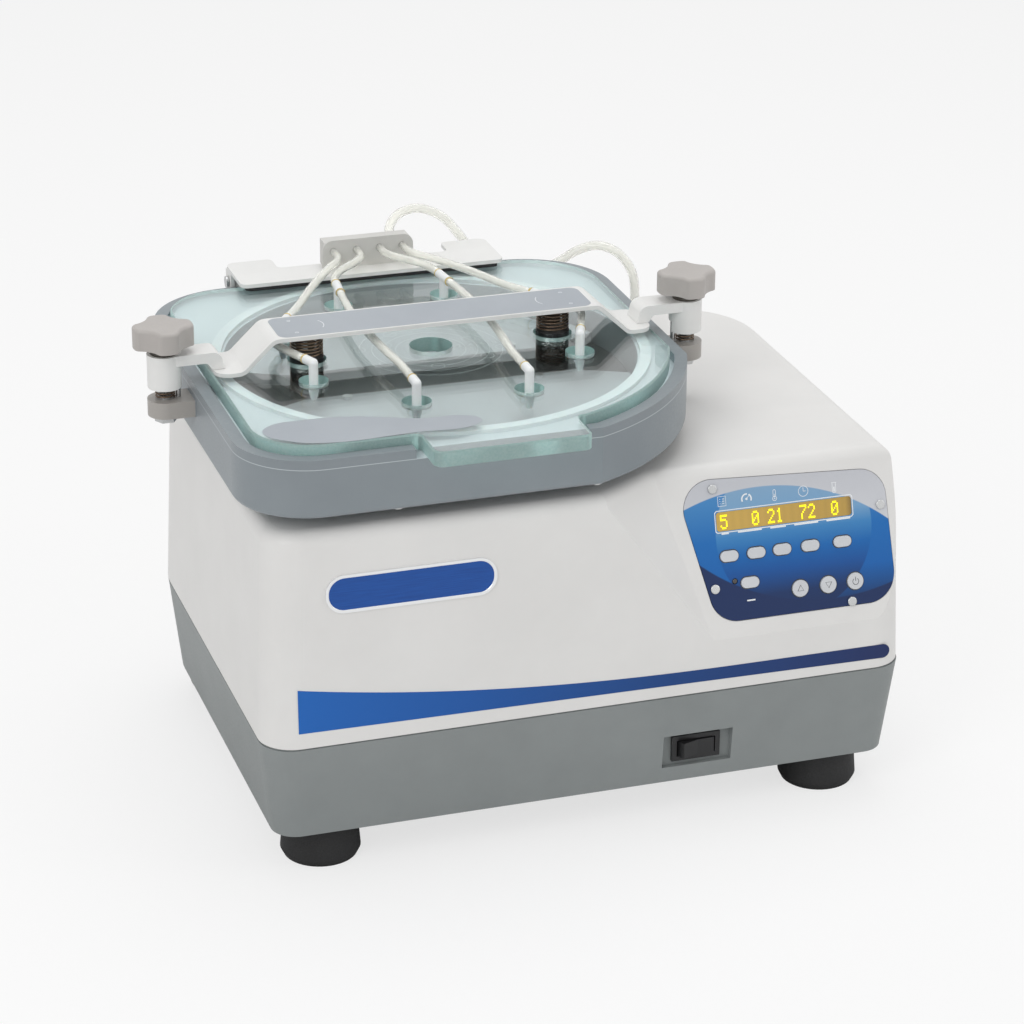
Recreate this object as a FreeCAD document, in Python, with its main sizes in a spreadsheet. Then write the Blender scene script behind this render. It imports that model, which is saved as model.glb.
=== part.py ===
"""A benchtop nitrogen sample evaporator: a white housing on a grey base pan carries a shallow
round-cornered sample chamber that orbits, under a hinged glass lid with a gas manifold.

Every size is a cell of the sheet Sizes, in millimetres and degrees. +Z is up, the operator stands
on the -Y side, and the origin is on the bench under the middle of the whole object.
"""

import FreeCAD, Part
import Sketcher
import math
import os

DRIVING_SIZES = {
    # the housing, its base pan and feet
    "housing_x": 21.5,
    "housing_y": -2,
    "housing_width": 416,
    "housing_depth": 318,
    "pan_floor_z": 28,
    "seam_z": 91,
    "deck_z": 228,
    "pan_draft": 7,
    "housing_lean": 5,
    "pan_corner": 20,
    "housing_corner": 22,
    "rear_corner": 60,
    "deck_round": 9,
    "pan_wall": 4,
    "tongue_thick": 2,
    "foot_boss_radius": 5,
    "foot_boss_rise": 10,
    "housing_wall": 3.5,
    "seam_groove": 1,
    "tongue_rise": 6,
    "tongue_gap": 0.3,
    "foot_radius": 25,
    "foot_draft": 2,
    "foot_inset_x": 42,
    "foot_inset_y": 38,
    "foot_screw_radius": 3,
    # the leaning control panel and the facet beside it
    "panel_low_z": 124.6,
    "panel_lean": 16.7,
    "facet_low_x": 77,
    "facet_top_x": 44.5,
    "facet_run": 1.56,
    "panel_round": 5,
    "overlay_thick": 1.5,
    "overlay_recess": 1.2,
    "overlay_gap": 0.4,
    "overlay_left_top": 58.5,
    "overlay_left_low": 80.5,
    "overlay_right_top": 197,
    "overlay_right_low": 200.5,
    "overlay_high_left": 101,
    "overlay_high_right": 94,
    "overlay_low": 10.5,
    "overlay_corner": 18,
    "panel_screw_radius": 3,
    "window_x": 129.2,
    "window_v": 73,
    "window_length": 90,
    "window_height": 12,
    "key_length": 11.8,
    "key_height": 6.8,
    "round_key_radius": 5.3,
    "key_rise": 1.2,
    "key_gap": 0.3,
    "key_flange": 1,
    "key_travel": 0.8,
    "key_row_v": 51.3,
    "board_depth": 11,
    "board_thick": 1.6,
    "lamp_radius": 1.6,
    # the power switch, in a recess of the base pan
    "switch_x": 69.5,
    "switch_z": 50,
    "recess_length": 46,
    "recess_height": 23,
    "recess_depth": 5,
    "switch_length": 32,
    "switch_height": 17,
    "rocker_length": 24.6,
    "rocker_height": 10.4,
    "rocker_rise": 2.4,
    "switch_depth": 16,
    "rocker_tilt": 10,
    # the power and gas inlets on the back
    "inlet_x": -120,
    "inlet_z": 60,
    "inlet_length": 48,
    "inlet_height": 28,
    "gas_inlet_x": 124.5,
    "gas_inlet_z": 140,
    "gas_barb_radius": 3.4,
    "supply_x": 130,
    "supply_y": 52,
    "supply_length": 90,
    "supply_width": 120,
    "supply_height": 44,
    "hose_radius": 3.2,
    "hose_bore": 2.1,
    "hose_hole_x": 146,
    "hose_hole_y": 126,
    "hose_hole_radius": 8,
    # the orbiting drive
    "chamber_x": -39,
    "chamber_y": -13.5,
    "orbit_radius": 2.5,
    "frame_z": 165,
    "frame_thick": 5,
    "frame_size": 236,
    "frame_leg": 26,
    "motor_radius": 43,
    "motor_length": 84,
    "shaft_radius": 6,
    "eccentric_radius": 26,
    "eccentric_thick": 20,
    "weight_radius": 48,
    "weight_thick": 12,
    "crank_radius": 7.5,
    "bearing_radius": 17.5,
    "bearing_thick": 14,
    "hub_radius": 26,
    "hub_flange_radius": 62,
    "hub_flange_thick": 6,
    "hub_top_z": 222,
    "running_gap": 0.05,
    "deck_opening": 222,
    "deck_opening_corner": 34,
    "mount_radius": 13,
    "mount_spacing": 168,
    "slide_gap": 0.2,
    # the sample chamber
    "tub_bottom_z": 239,
    "tub_half_width": 153,
    "tub_front": 147.5,
    "tub_back": 156,
    "tub_floor": 4,
    "tub_wall": 8,
    "tub_top_z": 270,
    "rim_z": 276,
    "tub_corner": 46,
    "tub_back_corner": 58,
    "tub_arc_radius": 160,
    "cavity_radius": 129,
    "gasket_radius": 134,
    "gasket_width": 7,
    "base_disc_radius": 126,
    "base_disc_top_z": 250,
    "plate_top_z": 257,
    "plate_radius": 125,
    "channel_half": 22,
    "channel_flare_x": 88,
    "channel_flare": 26,
    "flare_end_x": 119.3,
    "plate_screw_x": 62,
    "plate_screw_y": 28,
    "plate_screw_radius": 3,
    # the glass lid
    "glass_z": 272.5,
    "glass_thick": 9.5,
    "glass_half_width": 142,
    "glass_half_depth": 139,
    "glass_corner": 38,
    "glass_back_corner": 52,
    "glass_arc_radius": 149,
    "tab_half_width": 48.5,
    "tab_reach": 31,
    "tab_corner": 6,
    "tab_base_corner": 4,
    "tab_gap": 5,
    "vent_radius": 13.5,
    "nozzle_hole_radius": 9.1,
    "inner_nozzle_x": 35.5,
    "inner_nozzle_y": 88,
    "outer_nozzle_x": 85.5,
    "outer_nozzle_y": 37,
    "spring_x": 80,
    "spring_hole_radius": 12.2,
    # the hold-down bar, its springs and plungers
    "bar_width": 38,
    "bar_thick": 2.5,
    "bar_top_z": 303.5,
    "bar_flat_half": 141,
    "bar_foot": 16,
    "bar_raised_half": 105,
    "bar_angle": 43.5,
    "bar_bend": 9,
    "bar_corner": 9,
    "spring_radius": 9.6,
    "spring_wire": 0.8,
    "spring_turns": 7,
    "plunger_radius": 10.6,
    "plunger_gap": 1,
    # the lid's hinge
    "hinge_back": 164.5,
    "hinge_z": 277,
    "pin_radius": 2.5,
    "barrel_radius": 5,
    "barrel_in": 60,
    "barrel_out": 86,
    "ear_thick": 2.5,
    "ear_gap": 0.4,
    "ear_radius": 7,
    "hinge_plate_front": 127.5,
    "hinge_plate_back": 154,
    "hinge_wing_back": 172.5,
    "hinge_wing_in": 58.5,
    "hinge_rubber": 2.5,
    "hinge_plate": 2.5,
    "bracket_thick": 3,
    "bracket_drop": 26,
    "clip_x": 112,
    "clip_y": 167,
    "clip_z": 259,
    "clip_length": 8,
    # the gas manifold and its tubing
    "manifold_y": 142.5,
    "manifold_half": 31,
    "manifold_top_z": 306,
    "manifold_depth": 12,
    "manifold_thick": 2,
    "port_x": 22.6,
    "outlet_pitch": 15.7,
    "outlet_z": 298.5,
    "barb_radius": 1.7,
    "barb_reach": 7.4,
    "tube_radius": 2.6,
    "fitting_z": 293,
    "fitting_radius": 2.9,
    "fitting_flange": 4.7,
    "fitting_arm": 8,
    "fitting_barb": 5.2,
    "seat_thick": 3,
    "nozzle_drop": 10,
    "inner_tee_yaw": 6,
    "outer_tee_yaw": 34,
    "outer_elbow_yaw": 21,
    "tube_lead": 20,
    "inner_jumper_lead": 22,
    "outer_jumper_lead": 14,
    "jumper_end": 26,
    "outer_jumper_end": 32.7,
    # the two swing clamps
    "stud_x": 169.5,
    "lug_radius": 11,
    "lug_low_z": 256,
    "lug_top_z": 266.5,
    "bolt_radius": 4,
    "bolt_head_radius": 7,
    "bolt_head_thick": 4.2,
    "boss_radius": 10.5,
    "boss_low_z": 274,
    "arm_top_z": 295.5,
    "arm_thick": 6.5,
    "arm_width": 18,
    "arm_reach": 33,
    "hook_thick": 8,
    "hook_gap": 0.15,
    "collar_radius": 8.5,
    "collar_thick": 2.2,
    "knob_radius": 18.7,
    "knob_top_z": 314,
    "knob_thick": 13.5,
    "knob_notch_radius": 15,
    "knob_notch_depth": 4.2,
    "knob_bore_depth": 12,
    "knob_edge": 4,
    "knob_top_round": 2.2,
    "clamp_spring_radius": 5.6,
    "clamp_spring_turns": 3,
    "clamp_spring_wire": 0.6,
    "stop_pin_radius": 1.6,
    "stop_pin_reach": 8.2,
    "stop_pin_top_z": 280,
    "slot_sweep": 128,
    "slot_lead": 14,
}

doc = FreeCAD.newDocument("nitrogen_evaporator")
sheet = doc.addObject("Spreadsheet::Sheet", "Sizes")
for row, (alias, amount) in enumerate(DRIVING_SIZES.items(), start=1):
    sheet.set(f"A{row}", alias)
    sheet.set(f"B{row}", str(amount))
    sheet.setAlias(f"B{row}", alias)
doc.recompute()


class Size:
    """A size as a number and as a formula on the sheet, so that both always agree."""

    def __init__(self, number, formula):
        self.number = number
        self.formula = formula

    def __add__(self, other):
        return Size(self.number + number(other), f"({self.formula} + {formula(other)})")

    def __radd__(self, other):
        return Size(number(other) + self.number, f"({formula(other)} + {self.formula})")

    def __sub__(self, other):
        return Size(self.number - number(other), f"({self.formula} - {formula(other)})")

    def __rsub__(self, other):
        return Size(number(other) - self.number, f"({formula(other)} - {self.formula})")

    def __mul__(self, other):
        return Size(self.number * number(other), f"({self.formula} * {formula(other)})")

    __rmul__ = __mul__

    def __truediv__(self, other):
        return Size(self.number / number(other), f"({self.formula} / {formula(other)})")

    def __neg__(self):
        return Size(-self.number, f"(-1 * {self.formula})")


class Sheet:
    """The sheet's cells by alias, each as a Size."""

    def __getattr__(self, alias):
        return Size(float(sheet.get(alias)), f"Sizes.{alias}")


class Near:
    """A sketch coordinate that only starts near a place, because other constraints fix it."""

    def __init__(self, size):
        self.number = number(size)


def number(value):
    return value.number if isinstance(value, (Size, Near)) else float(value)


def formula(value):
    return value.formula if isinstance(value, Size) else repr(float(value))


def tangent(angle):
    return Size(math.tan(math.radians(number(angle))), f"tan({formula(angle)} * 1 deg)")


def root(value):
    return Size(math.sqrt(number(value)), f"sqrt({formula(value)})")


def cosine(angle):
    return Size(math.cos(math.radians(number(angle))), f"cos({formula(angle)} * 1 deg)")


def sine(angle):
    return Size(math.sin(math.radians(number(angle))), f"sin({formula(angle)} * 1 deg)")


def bind(thing, **sizes):
    """Bind properties to formulas; a double underscore stands for a dot."""
    for name, size in sizes.items():
        thing.setExpression(name.replace("__", "."), formula(size))
    return thing


def place(thing, x=0, y=0, z=0):
    """Put a thing at a place that follows the sheet."""
    return bind(thing, Placement__Base__x=x, Placement__Base__y=y, Placement__Base__z=z)


s = Sheet()
nodes = {}


def node(name, thing):
    """Name a finished sub-part; its label names its file."""
    thing.Label = name
    nodes[name] = thing
    return thing


# solid building blocks


def box(x, y, z, length, width, height):
    """A box with its middle at x, y and its underside at z."""
    block = doc.addObject("Part::Box", "Block")
    bind(block, Length=length, Width=width, Height=height)
    return place(block, x - length / 2, y - width / 2, z)


def rod(x, y, z, radius, height, axis="Z"):
    """A cylinder from x, y, z along an axis."""
    turns = {"Z": (0, 0, 0), "X": (0, 90, 0), "Y": (0, 0, -90)}
    post = doc.addObject("Part::Cylinder", "Post")
    yaw, pitch, roll = turns[axis]
    post.Placement.Rotation = FreeCAD.Rotation(yaw, pitch, roll)
    bind(post, Radius=radius, Height=height)
    return place(post, x, y, z)


def cone(x, y, z, low_radius, high_radius, height):
    """A cone or taper standing on z."""
    taper = doc.addObject("Part::Cone", "Taper")
    bind(taper, Radius1=low_radius, Radius2=high_radius, Height=height)
    return place(taper, x, y, z)


def fuse(*pieces):
    """Pieces joined into one solid."""
    joined = doc.addObject("Part::MultiFuse", "Joined")
    joined.Shapes = list(pieces)
    joined.Refine = True
    return joined


def cut(base, *tools):
    """A piece with tools taken out of it."""
    remains = doc.addObject("Part::Cut", "Remains")
    remains.Base = base
    remains.Tool = tools[0] if len(tools) == 1 else fuse(*tools)
    remains.Refine = True
    return remains


def group(*pieces):
    """Like pieces that stay separate solids of one sub-part."""
    together = doc.addObject("Part::Compound", "Together")
    together.Links = list(pieces)
    return together


# sketched features


def new_body(name):
    return doc.addObject("PartDesign::Body", name)


def origin_plane(body, role):
    return next(face for face in body.Origin.OriginFeatures if face.Role == role)


def new_sketch(body, role="XY_Plane", offset=0):
    """A sketch on one of the body's own origin planes, moved along its normal."""
    sketch = body.newObject("Sketcher::SketchObject", "Sketch")
    sketch.AttachmentSupport = [(origin_plane(body, role), "")]
    sketch.MapMode = "FlatFace"
    bind(sketch, AttachmentOffset__Base__z=offset)
    return sketch


class Constraints:
    """Constraints of one shape, added together and then bound to the sheet."""

    def __init__(self, sketch):
        self.sketch = sketch
        self.wanted = []

    def add(self, kind, *where, size=None):
        values = where if size is None else where + (number(size),)
        self.wanted.append((Sketcher.Constraint(kind, *values), size))

    def pin(self, item, end, x, y):
        """Fix a point's coordinates, except those that are only near their place."""
        if not isinstance(x, Near):
            self.add("DistanceX", item, end, size=x)
        if not isinstance(y, Near):
            self.add("DistanceY", item, end, size=y)

    def apply(self):
        indexes = self.sketch.addConstraint([constraint for constraint, size in self.wanted])
        for index, (constraint, size) in zip(indexes, self.wanted):
            if isinstance(size, Size):
                self.sketch.setExpression(f"Constraints[{index}]", size.formula)


def circle(sketch, x, y, radius):
    middle = FreeCAD.Vector(number(x), number(y), 0)
    item = sketch.addGeometry(Part.Circle(middle, FreeCAD.Vector(0, 0, 1), number(radius)), False)
    marks = Constraints(sketch)
    marks.pin(item, 3, x, y)
    marks.add("Radius", item, size=radius)
    marks.apply()


def outline(sketch, corners, arcs=None):
    """A closed outline through corners (x, y) or (x, y, radius).

    arcs maps the number of a side to (radius, centre x, centre y) where that side is an arc.
    """
    arcs = arcs or {}
    count = len(corners)
    points = [FreeCAD.Vector(number(c[0]), number(c[1]), 0) for c in corners]
    starts, ends = list(points), list(points)
    for i, corner in enumerate(corners):
        if len(corner) == 3:
            before = (points[i - 1] - points[i]).normalize()
            after = (points[(i + 1) % count] - points[i]).normalize()
            reach = number(corner[2]) / math.tan(before.getAngle(after) / 2)
            ends[i] = points[i] + before * reach
            starts[i] = points[i] + after * reach
    sides = [add_side(sketch, starts[i], ends[(i + 1) % count], arcs.get(i)) for i in range(count)]
    tips = [side_ends(sketch, sides[i], starts[i]) for i in range(count)]
    marks = Constraints(sketch)
    for i, corner in enumerate(corners):
        before, side = (sides[i - 1], tips[i - 1][1]), (sides[i], tips[i][0])
        if len(corner) == 3:
            round_corner(marks, before, side, (ends[i], points[i], starts[i]), corner)
        else:
            marks.add("Coincident", *before, *side)
            marks.pin(*side, corner[0], corner[1])
    for i, (radius, x, y) in arcs.items():
        marks.add("Radius", sides[i], size=radius)
        marks.pin(sides[i], 3, x, y)
    marks.apply()


def add_side(sketch, first, last, arc):
    """One side of an outline: a line, or an arc about a given centre."""
    if arc is None:
        return sketch.addGeometry(Part.LineSegment(first, last), False)
    radius, x, y = arc
    centre = FreeCAD.Vector(number(x), number(y), 0)
    middle = centre + ((first + last) / 2 - centre).normalize() * number(radius)
    return sketch.addGeometry(Part.Arc(first, middle, last), False)


def side_ends(sketch, side, start):
    """Which end of a side's geometry is its start, and which its finish."""
    first = sketch.getPoint(side, 1)
    return (1, 2) if (first - start).Length < 1e-6 else (2, 1)


def round_corner(marks, before, side, places, corner):
    """A tangent arc of the corner's radius, with the sharp corner kept as a construction point."""
    first, sharp_point, last = places
    towards = ((first - sharp_point).normalize() + (last - sharp_point).normalize()).normalize()
    half_angle = (first - sharp_point).getAngle(last - sharp_point) / 2
    radius = number(corner[2])
    middle = sharp_point + towards * (radius / math.sin(half_angle) - radius)
    arc = marks.sketch.addGeometry(Part.Arc(first, middle, last), False)
    arc_start, arc_end = side_ends(marks.sketch, arc, first)
    sharp = marks.sketch.addGeometry(Part.Point(sharp_point), True)
    marks.add("Tangent", *before, arc, arc_start)
    marks.add("Tangent", arc, arc_end, *side)
    marks.add("PointOnObject", sharp, 1, before[0])
    marks.add("PointOnObject", sharp, 1, side[0])
    marks.pin(sharp, 1, corner[0], corner[1])
    marks.add("Radius", arc, size=corner[2])


def rectangle(sketch, x, y, length, width, radius=None, rear=None):
    """A rectangle about x, y, its corners rounded by a radius, and the rear two by their own if given."""
    half_length, half_width = length / 2, width / 2
    ends = [(-1, -1), (1, -1), (1, 1), (-1, 1)]
    corners = [(x + half_length * i, y + half_width * j) for i, j in ends]
    radii = [radius, radius, rear or radius, rear or radius]
    outline(sketch, [c + (r,) for c, r in zip(corners, radii)] if radius is not None else corners)


def pad(body, sketch, length, both_ways=False):
    feature = body.newObject("PartDesign::Pad", "Pad")
    feature.Profile = sketch
    feature.Midplane = both_ways
    bind(feature, Length=length)
    return feature


def pocket(body, sketch, length, both_ways=False):
    """A pocket that has to take something away."""
    before = solid_volume(body)
    feature = body.newObject("PartDesign::Pocket", "Pocket")
    feature.Profile = sketch
    feature.Midplane = both_ways
    bind(feature, Length=length)
    if solid_volume(body) >= before:
        raise ValueError(f"a pocket of {body.Name} cuts nothing")
    return feature


def solid_volume(body):
    body.recompute(True)
    return body.Shape.Volume


def loft(body, low, high, subtractive=False):
    kind = "PartDesign::SubtractiveLoft" if subtractive else "PartDesign::AdditiveLoft"
    feature = body.newObject(kind, "Loft")
    feature.Profile = low
    feature.Sections = [high]
    feature.Ruled = True
    return feature


def revolve(body, sketch):
    """A full turn of a profile sketched on the XZ plane about the body's Z axis."""
    feature = body.newObject("PartDesign::Revolution", "Revolution")
    feature.Profile = sketch
    feature.ReferenceAxis = (sketch, ["V_Axis"])
    feature.Angle = 360
    return feature


def fillet(body, radius, wanted, kind="PartDesign::Fillet"):
    """Round the edges that wanted(edge) picks from the body as it is now."""
    body.recompute(True)
    names = [f"Edge{i}" for i, edge in enumerate(body.Shape.Edges, start=1) if wanted(edge)]
    if not names:
        raise ValueError(f"no edge of {body.Name} to round")
    base = body.Tip
    feature = body.newObject(kind, "Round")
    feature.Base = (base, names)
    bind(feature, **({"Radius": radius} if kind.endswith("Fillet") else {"Size": radius}))
    return feature


def is_vertical(edge):
    ends = [v.Point for v in edge.Vertexes]
    return len(ends) == 2 and abs(ends[0].z - ends[1].z) > 1 and (ends[0] - ends[1]).cross(
        FreeCAD.Vector(0, 0, 1)
    ).Length < 1e-6


def is_level(edge, height):
    """Does the whole edge lie at one height?"""
    points = edge.discretize(5)
    return all(abs(p.z - number(height)) < 1e-4 for p in points)


# places that several sub-parts share

front = s.housing_y - s.housing_depth / 2
glass_top_z = s.glass_z + s.glass_thick
spring_seat_z = glass_top_z + 2
bar_low_z = s.bar_top_z - s.bar_thick
motor_x = s.chamber_x - s.orbit_radius
pan_slope = s.pan_draft / (s.seam_z - s.pan_floor_z)
housing_slope = s.housing_lean / (s.deck_z - s.seam_z)
panel_front = housing_slope * (s.panel_low_z - s.seam_z)
overlay_back = -s.overlay_recess
board_face = -s.board_depth
ear_in = s.barrel_out + 1
ear_out = ear_in + s.ear_thick
seat_top_z = s.glass_z + s.seat_thick


def over_chamber(thing):
    """Stand a sub-part on the axis of the sample chamber."""
    return place(thing, s.chamber_x, s.chamber_y, 0)


def over_housing(thing):
    """Stand a sub-part on the middle of the housing."""
    return place(thing, s.housing_x, s.housing_y, 0)


def on_panel(thing):
    """Lay a sub-part on the leaning panel: X along it, Y up its slope, Z out of it."""
    thing.Placement.Rotation = FreeCAD.Rotation(FreeCAD.Vector(1, 0, 0), 90 - number(s.panel_lean))
    thing.setExpression("Placement.Rotation.Angle", f"(90 - {s.panel_lean.formula}) * 1 deg")
    return place(thing, s.housing_x, front + panel_front, s.panel_low_z)


# the housing


def make_base_pan():
    """A tapered tray with foot bosses, a tongue for the housing and two flat-floored recesses."""
    body = new_body("BasePan")
    low = new_sketch(body, offset=s.pan_floor_z)
    shrink = 2 * s.pan_draft
    rectangle(low, 0, 0, s.housing_width - shrink, s.housing_depth - shrink, s.pan_corner - 4, s.rear_corner - 4)
    high = new_sketch(body, offset=s.seam_z)
    rectangle(high, 0, 0, s.housing_width, s.housing_depth, s.pan_corner, s.rear_corner)
    loft(body, low, high)
    inside_low = new_sketch(body, offset=s.pan_floor_z + s.pan_wall)
    shrink = 2 * (s.pan_draft + s.pan_wall)
    corners = (s.pan_corner - 6, s.rear_corner - 6)
    rectangle(inside_low, 0, 0, s.housing_width - shrink, s.housing_depth - shrink, *corners)
    inside_high = new_sketch(body, offset=s.seam_z)
    shrink = 2 * s.pan_wall
    corners = (s.pan_corner - 2, s.rear_corner - 2)
    rectangle(inside_high, 0, 0, s.housing_width - shrink, s.housing_depth - shrink, *corners)
    loft(body, inside_low, inside_high, subtractive=True)
    bosses = new_sketch(body, offset=s.pan_floor_z + s.pan_wall)
    for x, y in foot_places():
        circle(bosses, x, y, s.foot_boss_radius)
    pad(body, bosses, s.foot_boss_rise)
    tongue = new_sketch(body, offset=s.seam_z - s.tongue_rise)
    inset = s.housing_wall + s.tongue_gap
    for step in (inset, inset + s.tongue_thick):
        corners = (s.housing_corner - step, s.rear_corner - step)
        rectangle(tongue, 0, 0, s.housing_width - 2 * step, s.housing_depth - 2 * step, *corners)
    pad(body, tongue, 2 * s.tongue_rise)
    groove = new_sketch(body, offset=s.seam_z)
    rectangle(groove, 0, 0, s.housing_width + 4, s.housing_depth + 4, s.pan_corner, s.rear_corner)
    inset = s.seam_groove
    corners = (s.pan_corner, s.rear_corner)
    rectangle(groove, 0, 0, s.housing_width - 2 * inset, s.housing_depth - 2 * inset, *corners)
    pocket(body, groove, s.seam_groove)
    switch = (s.switch_length - 3, s.switch_height - 3)
    wall_recess(body, s.switch_x, s.switch_z, -1, (s.recess_length, s.recess_height), switch)
    inlet = (s.inlet_length - 16, s.inlet_height - 6)
    wall_recess(body, s.inlet_x, s.inlet_z, 1, (s.inlet_length + 4, s.inlet_height + 4), inlet)
    node("base_pan", over_housing(body))


def foot_places():
    x = s.housing_width / 2 - s.foot_inset_x
    y = s.housing_depth / 2 - s.foot_inset_y
    return [(x * i, y * j) for i in (-1, 1) for j in (-1, 1)]


def recess_floor(z, side):
    """How far the flat floor of a wall recess stands from the housing's middle, along Y."""
    return (s.housing_depth / 2 - pan_slope * (s.seam_z - z) - s.recess_depth) * side


def wall_recess(body, x, z, side, recess, hole):
    """A recess in the sloping front or back wall, with a thick frame and a hole for a fitting."""
    floor = recess_floor(z, side)
    length, height = recess
    frame = new_sketch(body, offset=z - height / 2 - s.pan_wall)
    rectangle(frame, x, floor - side * s.recess_depth / 2, length + 2 * s.pan_wall, s.recess_depth * 2)
    pad(body, frame, height + 2 * s.pan_wall)
    opening = new_sketch(body, offset=z + height / 2)
    rectangle(opening, x, floor + side * s.recess_depth, length, s.recess_depth * 2)
    pocket(body, opening, height)
    passage = new_sketch(body, offset=z + hole[1] / 2)
    rectangle(passage, x, floor - side * s.recess_depth, hole[0], s.recess_depth * 4)
    pocket(body, passage, hole[1])


def make_feet():
    """Four round rubber feet, a little wider at the middle."""
    feet = []
    for x, y in foot_places():
        at_x, at_y = s.housing_x + x, s.housing_y + y
        toe = cone(at_x, at_y, 0, s.foot_radius - s.foot_draft, s.foot_radius, s.foot_draft * 2)
        heel_z = s.foot_draft * 2
        heel = cone(at_x, at_y, heel_z, s.foot_radius, s.foot_radius - s.foot_draft, s.pan_floor_z - heel_z)
        feet.append(fuse(toe, heel))
    node("rubber_feet", group(*feet))


def housing_block(name, inset):
    """The housing's outer form, or its cavity at an inset: a leaning box with the panel cut off."""
    body = new_body(name)
    deck = s.deck_z - inset
    shrink = 2 * inset
    low = new_sketch(body, offset=s.seam_z)
    corners = (s.housing_corner - inset, s.rear_corner - inset)
    rectangle(low, 0, 0, s.housing_width - shrink, s.housing_depth - shrink, *corners)
    shrink = 2 * (s.housing_lean + inset)
    high = new_sketch(body, offset=deck)
    rectangle(high, 0, 0, s.housing_width - shrink, s.housing_depth - shrink, *corners)
    loft(body, low, high)
    cut_panel(body, inset)
    return body


def cut_panel(body, inset):
    """Take off what lies before the panel and beside the facet, along the crease between them."""
    top = s.deck_z + 12
    rise = top - s.panel_low_z
    lean_y = tangent(s.panel_lean) * rise
    lean_x = (s.facet_top_x - s.facet_low_x) * rise / (s.deck_z - s.panel_low_z)
    panel_y = -s.housing_depth / 2 + panel_front + lean_y + inset / cosine(s.panel_lean)
    crease_x = s.facet_low_x + lean_x - inset * 0.8
    outside = -s.housing_depth / 2 - 60
    right = s.housing_width / 2 + 60
    sketch = new_sketch(body, offset=top)
    corner = crease_x - s.facet_run * (panel_y - outside)
    outline(sketch, [(corner, outside), (right, outside), (right, panel_y), (crease_x, panel_y)])
    before = solid_volume(body)
    feature = body.newObject("PartDesign::Pocket", "Pocket")
    feature.Profile = sketch
    feature.UseCustomVector = True
    feature.Direction = FreeCAD.Vector(-number(lean_x), -number(lean_y), -number(rise))
    bind(feature, Length=rise)
    if solid_volume(body) >= before:
        raise ValueError("the panel's cut takes nothing off")


def make_upper_housing():
    """The moulded white shell with its deck opening, panel recess, hose hole and inlet boss."""
    outer = housing_block("HousingForm", Size(0, "0"))
    soften_housing(outer)
    cavity = housing_block("HousingCavity", s.housing_wall)
    opening = new_body("DeckOpening")
    sketch = new_sketch(opening, offset=s.deck_z - 20)
    middle_x, middle_y = s.chamber_x - s.housing_x, s.chamber_y - s.housing_y
    rectangle(sketch, middle_x, middle_y, s.deck_opening, s.deck_opening, s.deck_opening_corner)
    pad(opening, sketch, 40)
    boss_y = s.housing_y + s.housing_depth / 2 - 12
    boss = rod(s.housing_x + s.gas_inlet_x, boss_y, s.gas_inlet_z, s.gas_barb_radius * 3, 13, "Y")
    bore = rod(s.housing_x + s.gas_inlet_x, boss_y - 5, s.gas_inlet_z, s.gas_barb_radius, 30, "Y")
    hose_hole = rod(s.hose_hole_x, s.hose_hole_y, s.deck_z - 20, s.hose_hole_radius, 40)
    shell = cut(over_housing(outer), over_housing(cavity), over_housing(opening), hose_hole)
    shell = cut(fuse(shell, boss), bore, panel_recess(), panel_opening())
    node("upper_housing", shell)


def soften_housing(body):
    """Round the creases of the panel and the facet, then the edge of the deck."""
    slope = tangent(s.panel_lean).number
    edge_y = -number(s.housing_depth) / 2 + number(panel_front)

    def is_crease(edge):
        ends = [v.Point for v in edge.Vertexes]
        on_panel_plane = all(abs(p.y - edge_y - slope * (p.z - number(s.panel_low_z))) < 0.01 for p in ends)
        inside = all(p.x < number(s.housing_width) / 2 - number(s.housing_corner) for p in ends)
        return on_panel_plane and inside and len(ends) == 2 and abs(ends[0].z - ends[1].z) > 20

    fillet(body, s.panel_round, is_crease)
    fillet(body, s.deck_round, lambda edge: is_level(edge, s.deck_z))


def overlay_outline(sketch, grow):
    """The overlay's rounded, slightly skewed outline."""
    outline(
        sketch,
        [
            (s.overlay_left_low - grow, s.overlay_low - grow, s.overlay_corner + grow),
            (s.overlay_right_low + grow, s.overlay_low - grow, s.overlay_corner + grow),
            (s.overlay_right_top + grow, s.overlay_high_right + grow, s.overlay_corner + grow),
            (s.overlay_left_top - grow, s.overlay_high_left + grow, s.overlay_corner + grow),
        ],
    )


def panel_recess():
    body = new_body("PanelRecess")
    sketch = new_sketch(body, offset=overlay_back)
    overlay_outline(sketch, s.overlay_gap)
    pad(body, sketch, 6)
    return on_panel(body)


def panel_opening():
    """The window through the housing behind the overlay, and the screws' holes."""
    body = new_body("PanelOpening")
    sketch = new_sketch(body, offset=-20)
    outline(
        sketch,
        [
            (s.window_x - s.window_length / 2 - 1, s.overlay_low + 7),
            (s.window_x + s.window_length / 2 + 7, s.overlay_low + 7),
            (s.window_x + s.window_length / 2 + 7, s.window_v + s.window_height / 2 + 2),
            (s.window_x - s.window_length / 2 - 1, s.window_v + s.window_height / 2 + 2),
        ],
    )
    for x, v in SCREW_PLACES:
        circle(sketch, x, v, s.panel_screw_radius / 2)
    pad(body, sketch, 30)
    return on_panel(body)


# the control panel: places along the panel and up its slope

SCREW_PLACES = [(83.1, 93.8), (193.5, 71.3), (80.1, 31.9), (170.1, 12.9)]
OVAL_KEYS = {
    "program_key": 90.9,
    "speed_key": 108.8,
    "heat_key": 126.0,
    "time_key": 144.8,
    "sample_key": 166.3,
}
PREHEAT_KEY = (103.3, 33.4)
LAMP_PLACE = (93.5, 35.2)
ROUND_KEYS = {"increase_key": 136.1, "decrease_key": 154.9, "run_stop_key": 173.1}
ROUND_KEY_V = 25.5
STANDOFFS = [(87, 60.5), (178, 61.5), (88, 20.5), (119, 20.5)]


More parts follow.
